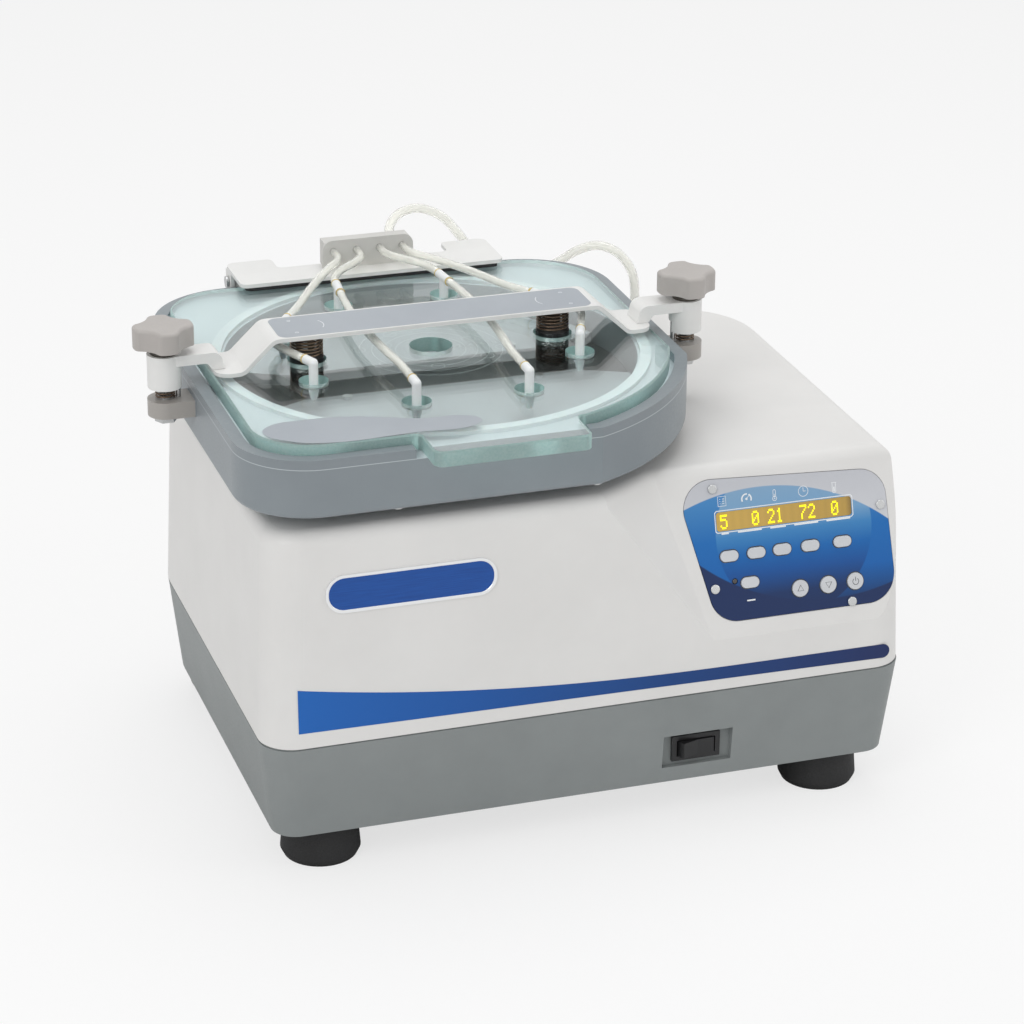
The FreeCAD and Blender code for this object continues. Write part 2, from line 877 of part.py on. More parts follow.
def key_shape(sketch, name, grow):
    """The outline of a key, grown for its hole or its flange."""
    if name in ROUND_KEYS:
        circle(sketch, ROUND_KEYS[name], ROUND_KEY_V, s.round_key_radius + grow)
        return
    x, v = (OVAL_KEYS[name], s.key_row_v) if name in OVAL_KEYS else PREHEAT_KEY
    height = s.key_height + 2 * grow
    rectangle(sketch, x, v, s.key_length + 2 * grow, height, height / 2 - 0.05)


def key_names():
    return list(OVAL_KEYS) + ["preheat_key"] + list(ROUND_KEYS)


def make_control_overlay():
    """The overlay plate with its window, key holes, lamp hole and screw holes."""
    body = new_body("ControlOverlay")
    plate = new_sketch(body, offset=overlay_back)
    overlay_outline(plate, 0)
    pad(body, plate, s.overlay_thick)
    holes = new_sketch(body, offset=overlay_back + s.overlay_thick)
    rectangle(holes, s.window_x, s.window_v, s.window_length, s.window_height, 2)
    for name in key_names():
        key_shape(holes, name, s.key_gap)
    circle(holes, *LAMP_PLACE, s.lamp_radius + s.key_gap)
    for x, v in SCREW_PLACES:
        circle(holes, x, v, s.panel_screw_radius / 2)
    pocket(body, holes, s.overlay_thick)
    node("control_overlay", on_panel(body))


def make_display_window():
    body = new_body("DisplayWindow")
    sketch = new_sketch(body, offset=overlay_back)
    rectangle(sketch, s.window_x, s.window_v, s.window_length, s.window_height, 2)
    pad(body, sketch, s.overlay_thick - 0.3)
    node("display_window", on_panel(body))


def make_key(name):
    """A key: a cap through the overlay, a flange behind it and a stem towards the board."""
    body = new_body(name.title().replace("_", ""))
    flange = new_sketch(body, offset=overlay_back - s.key_flange)
    key_shape(flange, name, 1)
    pad(body, flange, s.key_flange)
    cap = new_sketch(body, offset=overlay_back)
    key_shape(cap, name, 0)
    pad(body, cap, s.overlay_thick + s.key_rise)
    stem = new_sketch(body, offset=board_face + s.key_travel + 0.3)
    x, v = key_place(name)
    circle(stem, x, v, 1.6)
    pad(body, stem, s.board_depth - s.key_travel - 0.3 - s.overlay_recess - s.key_flange)
    top = overlay_back + s.overlay_thick + s.key_rise
    fillet(body, 0.5, lambda edge: is_level(edge, top))
    node(name, on_panel(body))


def key_place(name):
    if name in ROUND_KEYS:
        return ROUND_KEYS[name], ROUND_KEY_V
    return (OVAL_KEYS[name], s.key_row_v) if name in OVAL_KEYS else PREHEAT_KEY


def make_control_board():
    """The board behind the overlay, with the display module and four standoffs."""
    body = new_body("ControlBoard")
    board = new_sketch(body, offset=board_face - s.board_thick)
    low_v, high_v = s.overlay_low + 6, s.window_v + s.window_height / 2 + 3
    middle = (low_v + high_v) / 2
    rectangle(board, s.window_x + 4, middle, s.window_length + 12, high_v - low_v, 2)
    pad(body, board, s.board_thick)
    module = new_sketch(body, offset=board_face)
    rectangle(module, s.window_x, s.window_v, s.window_length - 2, s.window_height)
    for x, v in STANDOFFS:
        circle(module, x, v, 2)
    pad(body, module, s.board_depth - s.overlay_recess)
    node("control_board", on_panel(body))


def make_panel_trim():
    """The overlay's four pan-head screws, and the preheat lamp."""
    face = overlay_back + s.overlay_thick
    body = new_body("PreheatLamp")
    sketch = new_sketch(body, offset=board_face)
    circle(sketch, *LAMP_PLACE, s.lamp_radius)
    pad(body, sketch, face + 0.4 - board_face)
    fillet(body, 0.8, lambda edge: is_level(edge, face + 0.4))
    node("preheat_lamp", on_panel(body))
    screws = []
    for x, v in SCREW_PLACES:
        body = new_body("PanelScrew")
        head = new_sketch(body, offset=face)
        circle(head, x, v, s.panel_screw_radius)
        pad(body, head, s.panel_screw_radius * 0.4)
        shank = new_sketch(body, offset=face)
        circle(shank, x, v, s.panel_screw_radius / 2)
        shank_pad = pad(body, shank, s.overlay_thick + s.housing_wall)
        shank_pad.Reversed = True
        fillet(body, 0.6, lambda edge: is_level(edge, face + s.panel_screw_radius * 0.4))
        screws.append(on_panel(body))
    node("panel_screws", group(*screws))


# the switch, the inlets and what stands on the base pan


def make_switch():
    """A rocker switch: a frame with a well, and the rocker on its upright pivot."""
    floor_y = s.housing_y + recess_floor(s.switch_z, -1)
    x = s.housing_x + s.switch_x
    face_y = floor_y - 2.5
    pivot_y = face_y + 3
    flange = box(x, floor_y - 1.25, s.switch_z - s.switch_height / 2, s.switch_length, 2.5, s.switch_height)
    behind = s.switch_height - 3.4
    well = box(x, floor_y + s.switch_depth / 2, s.switch_z - behind / 2, s.switch_length - 3.4, s.switch_depth, behind)
    hollow_height = s.rocker_height + 0.6
    hollow = box(x, face_y + 6, s.switch_z - hollow_height / 2, s.rocker_length + 1, 12, hollow_height)
    bore = rod(x, pivot_y, s.switch_z - 7, 1.5 + s.running_gap, 14)
    node("switch_bezel", cut(fuse(flange, well), hollow, bore))
    body = new_body("Rocker")
    sketch = new_sketch(body, offset=-s.rocker_height / 2)
    half = s.rocker_length / 2
    valley = -3 - s.rocker_rise + 1
    end_y = valley - half * tangent(s.rocker_tilt)
    back = 4.5
    span = half + 2
    outline(sketch, [(-span, end_y), (Size(0, "0"), valley), (span, end_y), (span, back), (-span, back)])
    pad(body, sketch, s.rocker_height)
    disc = rod(0, 0, -s.rocker_height / 2, half, s.rocker_height)
    form = doc.addObject("Part::MultiCommon", "Common")
    form.Shapes = [body, disc]
    rocker = fuse(form, rod(0, 0, -6.8, 1.5, 13.6))
    rocker.Placement.Rotation = FreeCAD.Rotation(FreeCAD.Vector(0, 0, 1), number(s.rocker_tilt))
    node("power_rocker", place(rocker, x, pivot_y, s.switch_z))


def make_power_inlet():
    """An appliance inlet: a flange, a body with a three-pin well."""
    floor_y = s.housing_y + recess_floor(s.inlet_z, 1)
    x = s.housing_x + s.inlet_x
    low = s.inlet_z - s.inlet_height / 2
    flange = box(x, floor_y + 1.25, low, s.inlet_length, 2.5, s.inlet_height)
    length, height = s.inlet_length - 16.4, s.inlet_height - 6.4
    rear = box(x, floor_y - 11, s.inlet_z - height / 2, length, 22, height)
    well = box(x, floor_y - 6.5, s.inlet_z - 8, 24.6, 18.2, 16)
    blades = [box(x + 7 * i, floor_y - 9, s.inlet_z - 2 + 2.5 * (i == 0), 2, 14, 4) for i in (-1, 0, 1)]
    node("power_inlet", fuse(cut(fuse(flange, rear), well), *blades))


def make_gas_inlet():
    """The nitrogen inlet: a barb outside the housing, and an elbow with a barb for the hose inside."""
    x, z = s.housing_x + s.gas_inlet_x, s.gas_inlet_z
    wall_y = s.housing_y + s.housing_depth / 2 + 1
    inner_y = s.hose_hole_y
    run = rod(x, inner_y, z, s.gas_barb_radius, wall_y + 6 - inner_y, "Y")
    collar = rod(x, wall_y, z, s.gas_barb_radius * 2, 4, "Y")
    nut = rod(x, wall_y - 19, z, s.gas_barb_radius * 2, 6, "Y")
    barbs = []
    for i in range(3):
        ridge = cone(0, 0, 0, s.gas_barb_radius + 0.8, s.gas_barb_radius - 0.6, 5)
        ridge.Placement.Rotation = FreeCAD.Rotation(FreeCAD.Vector(1, 0, 0), -90)
        barbs.append(place(ridge, x, wall_y + 4 + 5 * i, z))
    knee = doc.addObject("Part::Sphere", "Knee")
    bind(knee, Radius=s.gas_barb_radius)
    place(knee, x, inner_y, z)
    riser = rod(x, inner_y, z, s.gas_barb_radius, 10)
    spigot = rod(x, inner_y, z, s.hose_bore, 20)
    bore = rod(x, inner_y, z, 1.2, wall_y + 30 - inner_y, "Y")
    node("gas_inlet_fitting", cut(fuse(run, collar, nut, *barbs, knee, riser, spigot), bore, rod(x, inner_y, z, 1.2, 30)))


def make_power_supply():
    """The supply's case on four short pillars of the base pan's floor."""
    x, y = s.housing_x + s.supply_x, s.housing_y + s.supply_y
    floor_z = s.pan_floor_z + s.pan_wall
    case = box(x, y, floor_z + 6, s.supply_length, s.supply_width, s.supply_height)
    half_length, half_width = s.supply_length / 2 - 7, s.supply_width / 2 - 7
    pillars = [rod(x + half_length * i, y + half_width * j, floor_z, 4, 6) for i in (-1, 1) for j in (-1, 1)]
    node("power_supply", fuse(case, *pillars))


# the orbiting drive


def make_drive_frame():
    """The motor's plate on four legs that stand on the base pan's floor."""
    body = new_body("DriveFrame")
    plate = new_sketch(body, offset=s.frame_z)
    rectangle(plate, 0, 0, s.frame_size, s.frame_size, 12)
    circle(plate, -s.orbit_radius, 0, s.shaft_radius * 3)
    pad(body, plate, s.frame_thick)
    legs = new_sketch(body, offset=s.pan_floor_z + s.pan_wall)
    reach = (s.frame_size - s.frame_leg) / 2
    for i in (-1, 1):
        for j in (-1, 1):
            rectangle(legs, reach * i, reach * j, s.frame_leg, s.frame_leg, 3)
            rectangle(legs, reach * i, reach * j, s.frame_leg - 6, s.frame_leg - 6, 2)
    pad(body, legs, s.frame_z - s.pan_floor_z - s.pan_wall)
    node("drive_frame", over_chamber(body))
    mounts = []
    for i in (-1, 1):
        for j in (-1, 1):
            height = s.tub_bottom_z - s.slide_gap - s.frame_z - s.frame_thick
            half = s.mount_spacing / 2
            mounts.append(rod(half * i, half * j, s.frame_z + s.frame_thick, s.mount_radius, height))
    node("vortex_mounts", over_chamber(group(*mounts)))


def make_motor():
    """The motor under the plate, its shaft, and the eccentric hub with counterweight and crank pin."""
    case = rod(motor_x, s.chamber_y, s.frame_z - s.motor_length, s.motor_radius, s.motor_length)
    nose = rod(motor_x, s.chamber_y, s.frame_z, s.shaft_radius * 3 - 0.5, s.frame_thick)
    shaft_low = s.frame_z - s.motor_length / 2
    bore_height = s.motor_length / 2 + s.frame_thick
    bore = rod(motor_x, s.chamber_y, shaft_low - 1, s.shaft_radius + s.running_gap, bore_height + 1)
    node("drive_motor", cut(fuse(case, nose), bore))
    hub_low = s.frame_z + s.frame_thick + 3
    shaft_length = hub_low + s.eccentric_thick - 2 - shaft_low
    node("motor_shaft", rod(motor_x, s.chamber_y, shaft_low, s.shaft_radius, shaft_length))
    hub = rod(motor_x, s.chamber_y, hub_low, s.eccentric_radius, s.eccentric_thick)
    weight = rod(motor_x, s.chamber_y, hub_low, s.weight_radius, s.weight_thick)
    weight.Placement.Rotation = FreeCAD.Rotation(FreeCAD.Vector(0, 0, 1), 90)
    weight.Angle = 180
    crank_low = hub_low + s.eccentric_thick
    crank = rod(s.chamber_x, s.chamber_y, crank_low, s.crank_radius, s.hub_top_z - 2 - crank_low)
    socket = rod(motor_x, s.chamber_y, hub_low, s.shaft_radius, s.eccentric_thick - 2)
    node("eccentric_hub", cut(fuse(hub, weight, crank), socket))


def make_chamber_hub():
    """The flanged hub under the chamber, and the bearing that runs on the crank pin."""
    body = new_body("ChamberHub")
    profile = new_sketch(body, "XZ_Plane")
    seat_low = s.hub_top_z - s.bearing_thick - 3
    outline(
        profile,
        [
            (s.bearing_radius, seat_low),
            (s.hub_radius, seat_low),
            (s.hub_radius, s.tub_bottom_z - s.hub_flange_thick),
            (s.hub_flange_radius, s.tub_bottom_z - s.hub_flange_thick),
            (s.hub_flange_radius, s.tub_bottom_z),
            (Size(0, "0"), s.tub_bottom_z),
            (Size(0, "0"), s.hub_top_z + 2),
            (s.crank_radius + 4, s.hub_top_z + 2),
            (s.crank_radius + 4, s.hub_top_z - 3),
            (s.bearing_radius, s.hub_top_z - 3),
        ],
    )
    revolve(body, profile)
    node("chamber_hub", over_chamber(body))
    ring = rod(0, 0, seat_low, s.bearing_radius, s.bearing_thick)
    bore = rod(0, 0, seat_low, s.crank_radius + s.running_gap, s.bearing_thick)
    node("hub_bearing", over_chamber(cut(ring, bore)))


# the sample chamber


def tray_outline(sketch, inset):
    """The chamber's outline: round corners, and one corner cut by an arc about the axis."""
    half, low, high = s.tub_half_width - inset, -s.tub_front + inset, s.tub_back - inset
    arc = s.tub_arc_radius - inset
    arc_x = root(arc * arc - low * low)
    arc_y = -root(arc * arc - half * half)
    corners = [
        (-half, low, s.tub_corner - inset),
        (Near(arc_x), low),
        (half, Near(arc_y)),
        (half, high, s.tub_back_corner - inset),
        (-half, high, s.tub_back_corner - inset),
    ]
    outline(sketch, corners, {1: (arc, Size(0, "0"), Size(0, "0"))})


def make_chamber_tub():
    """The chamber: a shallow tub with a round well, a rim, a notch for the lid's tab and two lugs."""
    body = new_body("ChamberTub")
    outer = new_sketch(body, offset=s.tub_bottom_z)
    tray_outline(outer, Size(0, "0"))
    pad(body, outer, s.rim_z - s.tub_bottom_z)
    shelf = new_sketch(body, offset=s.rim_z)
    tray_outline(shelf, s.tub_wall)
    pocket(body, shelf, s.rim_z - s.tub_top_z)
    well = new_sketch(body, offset=s.tub_top_z)
    circle(well, 0, 0, s.cavity_radius)
    pocket(body, well, s.tub_top_z - s.tub_bottom_z - s.tub_floor)
    notch = new_sketch(body, offset=s.rim_z)
    rectangle(notch, 0, -s.tub_front, 2 * (s.tab_half_width + s.tab_gap), 3 * s.tub_wall)
    pocket(body, notch, s.rim_z - s.tub_top_z)
    lugs = new_sketch(body, offset=s.lug_low_z)
    inner = s.tub_half_width - s.tub_wall / 2
    for side in (-1, 1):
        ends = [(inner * side, -s.lug_radius), (s.stud_x * side, -s.lug_radius)]
        ends = ends + [(s.stud_x * side, s.lug_radius), (inner * side, s.lug_radius)]
        outline(lugs, ends)
    pad(body, lugs, s.lug_top_z - s.lug_low_z)
    tips = [rod(s.stud_x * side, 0, s.lug_low_z, s.lug_radius, s.lug_top_z - s.lug_low_z) for side in (-1, 1)]
    holes = [rod(s.stud_x * side, 0, s.lug_low_z - 1, s.bolt_radius, 20) for side in (-1, 1)]
    pin_x = s.stud_x - s.stop_pin_reach
    holes = holes + [rod(pin_x * side, 0, s.lug_top_z - 6, s.stop_pin_radius, 10) for side in (-1, 1)]
    fillet(body, 3, lambda edge: is_level(edge, s.tub_bottom_z))
    node("chamber_tub", over_chamber(cut(fuse(body, *tips), *holes)))


def make_well_parts():
    """The block's black base disc, the two heater plates with their screws, and the lid's gasket."""
    base_low = s.tub_bottom_z + s.tub_floor
    height = s.base_disc_top_z - base_low
    node("block_base", rod(s.chamber_x, s.chamber_y, base_low, s.base_disc_radius, height))
    for name, side in (("front_heater_plate", -1), ("rear_heater_plate", 1)):
        body = new_body(name.title().replace("_", ""))
        sketch = new_sketch(body, offset=s.base_disc_top_z)
        start = s.channel_half * side
        flare_y = root(s.plate_radius * s.plate_radius - s.flare_end_x * s.flare_end_x) * side
        ends = [(-s.channel_flare_x, start), (s.channel_flare_x, start)]
        ends = ends + [(s.flare_end_x, Near(flare_y)), (-s.flare_end_x, Near(flare_y))]
        arc = (s.plate_radius, Size(0, "0"), Size(0, "0"))
        outline(sketch, ends, {2: arc})
        for x in (-s.plate_screw_x, s.plate_screw_x):
            circle(sketch, x, s.plate_screw_y * side, s.plate_screw_radius / 2)
        pad(body, sketch, s.plate_top_z - s.base_disc_top_z)
        node(name, over_chamber(body))
    screws = []
    for i in (-1, 1):
        for j in (-1, 1):
            x, y = s.plate_screw_x * i, s.plate_screw_y * j
            head = rod(x, y, s.plate_top_z, s.plate_screw_radius, 2)
            shank = rod(x, y, s.base_disc_top_z, s.plate_screw_radius / 2, s.plate_top_z - s.base_disc_top_z)
            screws.append(fuse(head, shank))
    node("plate_screws", over_chamber(group(*screws)))
    height = s.glass_z - 0.1 - s.tub_top_z
    ring = rod(0, 0, s.tub_top_z, s.gasket_radius + s.gasket_width / 2, height)
    hole = rod(0, 0, s.tub_top_z, s.gasket_radius - s.gasket_width / 2, height)
    node("lid_gasket", over_chamber(cut(ring, hole)))


def make_hinge_bracket():
    """The bracket behind the chamber, with two barrels for the hinge pins and a clip for the hose."""
    plate_y = s.tub_back + s.bracket_thick / 2
    low = s.hinge_z - s.bracket_drop
    top = s.hinge_z - 3
    plate = box(0, plate_y, low, 2 * s.barrel_out, s.bracket_thick, top - low)
    pieces, bores = [plate], []
    length = s.barrel_out - s.barrel_in
    for side in (-1, 1):
        middle = (s.barrel_in + s.barrel_out) / 2 * side
        start = middle - length / 2
        pieces.append(box(middle, (s.tub_back + s.hinge_back + s.barrel_radius - 1) / 2, s.hinge_z - 14, length,
                          s.hinge_back + s.barrel_radius - 1 - s.tub_back, 12))
        pieces.append(rod(start, s.hinge_back, s.hinge_z, s.barrel_radius, length, "X"))
        bores.append(rod(start, s.hinge_back, s.hinge_z, s.pin_radius, length, "X"))
    arm_length = s.clip_x + s.clip_length / 2 - s.barrel_out
    pieces.append(box(s.barrel_out + arm_length / 2, plate_y, s.clip_z - 5, arm_length, s.bracket_thick, 10))
    web = s.clip_y - s.tub_back
    pieces.append(box(s.clip_x, s.tub_back + web / 2, s.clip_z - 3, s.clip_length, web, 6))
    clip_start = s.clip_x - s.clip_length / 2
    pieces.append(rod(clip_start, s.clip_y, s.clip_z, s.hose_radius + 2, s.clip_length, "X"))
    bores.append(rod(clip_start, s.clip_y, s.clip_z, s.hose_radius, s.clip_length, "X"))
    node("hinge_bracket", over_chamber(cut(fuse(*pieces), *bores)))
    pins = []
    for side in (-1, 1):
        middle = (s.barrel_in + ear_out + 0.5) / 2 * side
        length = ear_out + 0.5 - s.barrel_in
        shank = rod(middle - length / 2, s.hinge_back, s.hinge_z, s.pin_radius, length, "X")
        head_x = (ear_out + 0.5) * side + 0.75 * (side - 1)
        pins.append(fuse(shank, rod(head_x, s.hinge_back, s.hinge_z, s.pin_radius * 1.6, 1.5, "X")))
    node("hinge_pins", over_chamber(group(*pins)))


def make_clamp_posts():
    """The clamps' bolts through the lugs, and the pins that stop their arms."""
    bolts, pins = [], []
    for side in (-1, 1):
        x = s.stud_x * side
        head = doc.addObject("Part::Prism", "Hexagon")
        head.Polygon = 6
        bind(head, Circumradius=s.bolt_head_radius, Height=s.bolt_head_thick)
        place(head, x, 0, s.lug_low_z - s.bolt_head_thick)
        bolts.append(fuse(head, rod(x, 0, s.lug_low_z, s.bolt_radius, s.knob_top_z - 4 - s.lug_low_z)))
        pin_x = (s.stud_x - s.stop_pin_reach) * side
        pin_low = s.lug_top_z - 6
        pins.append(rod(pin_x, 0, pin_low, s.stop_pin_radius, s.stop_pin_top_z - pin_low))
    node("clamp_bolts", over_chamber(group(*bolts)))
    node("stop_pins", over_chamber(group(*pins)))


# the lid


def make_glass_lid():
    """The glass: its outline with the grip tab, and holes for the vent, the nozzles and the springs."""
    body = new_body("GlassLid")
    sketch = new_sketch(body, offset=s.glass_z)
    half, depth, arc = s.glass_half_width, s.glass_half_depth, s.glass_arc_radius
    tab, tab_y = s.tab_half_width, -s.glass_half_depth - s.tab_reach
    corners = [
        (-half, -depth, s.glass_corner),
        (-tab, -depth, s.tab_base_corner),
        (-tab, tab_y, s.tab_corner),
        (tab, tab_y, s.tab_corner),
        (tab, -depth, s.tab_base_corner),
        (Near(root(arc * arc - depth * depth)), -depth),
        (half, Near(-root(arc * arc - half * half))),
        (half, depth, s.glass_back_corner),
        (-half, depth, s.glass_corner),
    ]
    outline(sketch, corners, {5: (arc, Size(0, "0"), Size(0, "0"))})
    circle(sketch, 0, 0, s.vent_radius)
    for x, y in nozzle_places():
        circle(sketch, x, y, s.nozzle_hole_radius)
    for side in (-1, 1):
        circle(sketch, s.spring_x * side, 0, s.spring_hole_radius)
    pad(body, sketch, s.glass_thick)

    def is_outer(edge):
        return is_level(edge, glass_top_z) and not (edge.isClosed())

    fillet(body, 1, is_outer, "PartDesign::Chamfer")
    node("glass_lid", over_chamber(body))


def nozzle_places():
    inner = [(s.inner_nozzle_x * i, s.inner_nozzle_y * j) for i in (-1, 1) for j in (-1, 1)]
    return inner + [(s.outer_nozzle_x * i, s.outer_nozzle_y * j) for i in (-1, 1) for j in (-1, 1)]


def make_hold_down_bar():
    """The bent bar across the lid, pressed on its feet by the clamps."""
    body = new_body("HoldDownBar")
    sketch = new_sketch(body, "XZ_Plane")
    foot_top = glass_top_z + s.bar_thick
    bend = tangent(s.bar_angle / 2) * s.bar_thick
    end, heel, toe = s.bar_flat_half, s.bar_flat_half - s.bar_foot, s.bar_raised_half
    inner, outer = s.bar_bend - s.bar_thick, s.bar_bend
    corners = [
        (-end, glass_top_z),
        (-heel + bend, glass_top_z, outer),
        (-toe + bend, bar_low_z, inner),
        (toe - bend, bar_low_z, inner),
        (heel - bend, glass_top_z, outer),
        (end, glass_top_z),
        (end, foot_top),
        (heel, foot_top, inner),
        (toe, s.bar_top_z, outer),
        (-toe, s.bar_top_z, outer),
        (-heel, foot_top, inner),
        (-end, foot_top),
    ]
    outline(sketch, corners)
    pad(body, sketch, s.bar_width, both_ways=True)

    def is_end(edge):
        return is_vertical(edge) and abs(abs(edge.Vertexes[0].X) - number(s.bar_flat_half)) < 0.01

    fillet(body, s.bar_corner, is_end)
    node("hold_down_bar", over_chamber(body))
    plungers = []
    for side in (-1, 1):
        low = s.base_disc_top_z + s.plunger_gap
        plungers.append(rod(s.spring_x * side, 0, low, s.plunger_radius, spring_seat_z - low))
    node("spring_plungers", over_chamber(group(*plungers)))


def make_hinge_plate():
    """The lid's white hinge plate with two wings and turned-down ears, on its rubber."""
    body = new_body("HingePlate")
    sketch = new_sketch(body, offset=glass_top_z + s.hinge_rubber)
    wing, inner = ear_out, s.hinge_wing_in
    low, middle, back = s.hinge_plate_front, s.hinge_plate_back, s.hinge_wing_back
    corners = [
        (-wing, low, 5),
        (wing, low, 5),
        (wing, back, 6),
        (inner, back, 4),
        (inner, middle, 4),
        (-inner, middle, 4),
        (-inner, back, 4),
        (-wing, back, 6),
    ]
    outline(sketch, corners)
    pad(body, sketch, s.hinge_plate)
    pieces, bores = [body], []
    ear_top = glass_top_z + s.hinge_rubber
    for side in (-1, 1):
        middle_x = (ear_in + ear_out) / 2 * side
        start = middle_x - s.ear_thick / 2
        pieces.append(box(middle_x, s.hinge_back, s.hinge_z, s.ear_thick, 2 * s.ear_radius, ear_top - s.hinge_z))
        pieces.append(rod(start, s.hinge_back, s.hinge_z, s.ear_radius, s.ear_thick, "X"))
        bores.append(rod(start, s.hinge_back, s.hinge_z, s.pin_radius + s.running_gap, s.ear_thick, "X"))
    node("hinge_plate", over_chamber(cut(fuse(*pieces), *bores)))
    rubber = new_body("HingeRubber")
    sketch = new_sketch(rubber, offset=glass_top_z)
    depth = s.glass_half_depth + 3 - low
    rectangle(sketch, 0, low + 0.5 + depth / 2, 2 * (ear_in - 1), depth, 4)
    pad(rubber, sketch, s.hinge_rubber)
    node("hinge_rubber", over_chamber(rubber))


def make_manifold():
    """The gas manifold: a block on an upright bracket, four outlet barbs and one inlet barb."""
    foot_z = glass_top_z + s.hinge_rubber + s.hinge_plate
    body = new_body("Manifold")
    face = new_sketch(body, "XZ_Plane", offset=-s.manifold_y - s.manifold_thick)
    corners = [
        (-s.manifold_half, foot_z),
        (s.manifold_half, foot_z),
        (s.manifold_half, s.manifold_top_z, 7),
        (-s.manifold_half, s.manifold_top_z, 7),
    ]
    outline(face, corners)
    pad(body, face, s.manifold_thick)
    rear_y = s.manifold_y + s.manifold_thick
    block = box(0, rear_y + s.manifold_depth / 2, foot_z, 2 * s.manifold_half - 4, s.manifold_depth, s.manifold_top_z - 2 - foot_z)
    barbs = [rod(s.outlet_pitch * i, s.manifold_y - s.barb_reach, s.outlet_z, s.barb_radius, s.barb_reach + 2, "Y")
             for i in (-1.5, -0.5, 0.5, 1.5)]
    port_y = rear_y + s.manifold_depth
    port = rod(s.port_x, port_y - 2, s.outlet_z, s.hose_bore, s.barb_reach + 2, "Y")
    node("gas_manifold", over_chamber(fuse(body, block, *barbs, port)))


# the nozzles and their fittings


def level_rod(x, y, z, yaw, radius, start, length):
    """A level cylinder from a distance along a heading; a heading of 0 points to the front."""
    heading = math.radians(yaw)
    towards = FreeCAD.Vector(math.sin(heading), -math.cos(heading), 0)
    post = doc.addObject("Part::Cylinder", "Arm")
    post.Placement.Rotation = FreeCAD.Rotation(FreeCAD.Vector(0, 0, 1), towards)
    bind(post, Radius=radius, Height=length)
    return place(post, x + start * towards.x, y + start * towards.y, z)


def ball(x, y, z, radius):
    sphere = doc.addObject("Part::Sphere", "Ball")
    bind(sphere, Radius=radius)
    return place(sphere, x, y, z)


def fitting(x, y, headings):
    """A fitting standing in a nozzle seat, with a level barbed arm for each heading."""
    low = s.glass_z - 3
    flange = rod(x, y, seat_top_z, s.fitting_flange, 1.6)
    stem = rod(x, y, low, s.fitting_radius, s.fitting_z - low)
    pieces = [flange, stem, ball(x, y, s.fitting_z, s.fitting_radius)]
    for yaw in headings:
        pieces.append(level_rod(x, y, s.fitting_z, yaw, s.fitting_radius, 0, s.fitting_arm))
        pieces.append(level_rod(x, y, s.fitting_z, yaw, s.barb_radius, s.fitting_arm, s.fitting_barb))
    return fuse(*pieces)


def make_fittings():
    """Four elbows at the front, four tees at the back, and the seats and tips under them all."""
    elbows, tees, seats = [], [], []
    for x, y in nozzle_places():
        side = 1 if number(x) > 0 else -1
        outer = abs(number(x)) > 60
        if number(y) < 0:
            yaw = 180 - number(s.outer_elbow_yaw) if outer else 180
            elbows.append(fitting(x, y, [yaw * side]))
        else:
            yaw = number(s.outer_tee_yaw if outer else s.inner_tee_yaw)
            tees.append(fitting(x, y, [yaw * side, (yaw - 180) * side]))
        plug = rod(x, y, s.glass_z, s.nozzle_hole_radius, seat_top_z - s.glass_z)
        tip = cone(x, y, s.glass_z - s.nozzle_drop, s.fitting_radius * 0.6, s.fitting_radius + 1.2, s.nozzle_drop)
        socket = rod(x, y, s.glass_z - 3, s.fitting_radius, 12)
        orifice = rod(x, y, s.glass_z - s.nozzle_drop - 1, 0.8, s.nozzle_drop)
        seats.append(cut(fuse(plug, tip), socket, orifice))
    node("elbow_fittings", over_chamber(group(*elbows)))
    node("tee_fittings", over_chamber(group(*tees)))
    node("nozzle_seats", over_chamber(group(*seats)))


# tubing and springs, as shapes that read the sheet when the file runs


def rounded_path(points):
    """Straight runs joined by tangent arcs, each from the shorter run beside it; returns the radii too."""
    edges, radii = [], []
    start = points[0]
    for before, corner, after in zip(points, points[1:], points[2:]):
        into, away = corner - before, after - corner
        half_turn = into.getAngle(away) / 2
        reach = 0.45 * min(into.Length, away.Length)
        first = corner - into.normalize() * reach
        last = corner + away.normalize() * reach
        radius = reach / math.tan(half_turn)
        inward = (away - into).normalize()
        middle = corner + inward * (radius / math.cos(half_turn) - radius)
        edges.append(Part.LineSegment(start, first).toShape())
        edges.append(Part.Arc(first, middle, last).toShape())
        radii.append(radius)
        start = last
    edges.append(Part.LineSegment(start, points[-1]).toShape())
    return Part.Wire(edges), radii


def swept(path, radius):
    """A solid round section along a path."""
    first = path.OrderedEdges[0]
    at = first.valueAt(first.FirstParameter)
    section = Part.Wire(Part.makeCircle(radius, at, first.tangentAt(first.FirstParameter)))
    shell = Part.BRepOffsetAPI.MakePipeShell(path)
    shell.add(section)
    shell.build()
    shell.makeSolid()
    return shell.shape()


def tube(name, points, outside, inside):
    """A hollow tube along a rounded path, checked against its section and length."""
    path, radii = rounded_path([FreeCAD.Vector(*(number(v) for v in point)) for point in points])
    outside, inside = number(outside), number(inside)
    shape = swept(path, outside).cut(swept(path, inside))
    wanted = math.pi * (outside**2 - inside**2) * path.Length
    if abs(shape.Volume / wanted - 1) > 0.01:
        raise ValueError(f"{name} has the wrong volume")
    print(f"{name}: length {path.Length:.1f}, tightest bend {min(radii):.1f}")
    feature = doc.addObject("Part::Feature", "Tube")
    feature.Shape = shape
    return feature


def along(x, y, yaw, distance):
    heading = math.radians(number(yaw))
    distance = number(distance)
    return number(x) + distance * math.sin(heading), number(y) - distance * math.cos(heading)


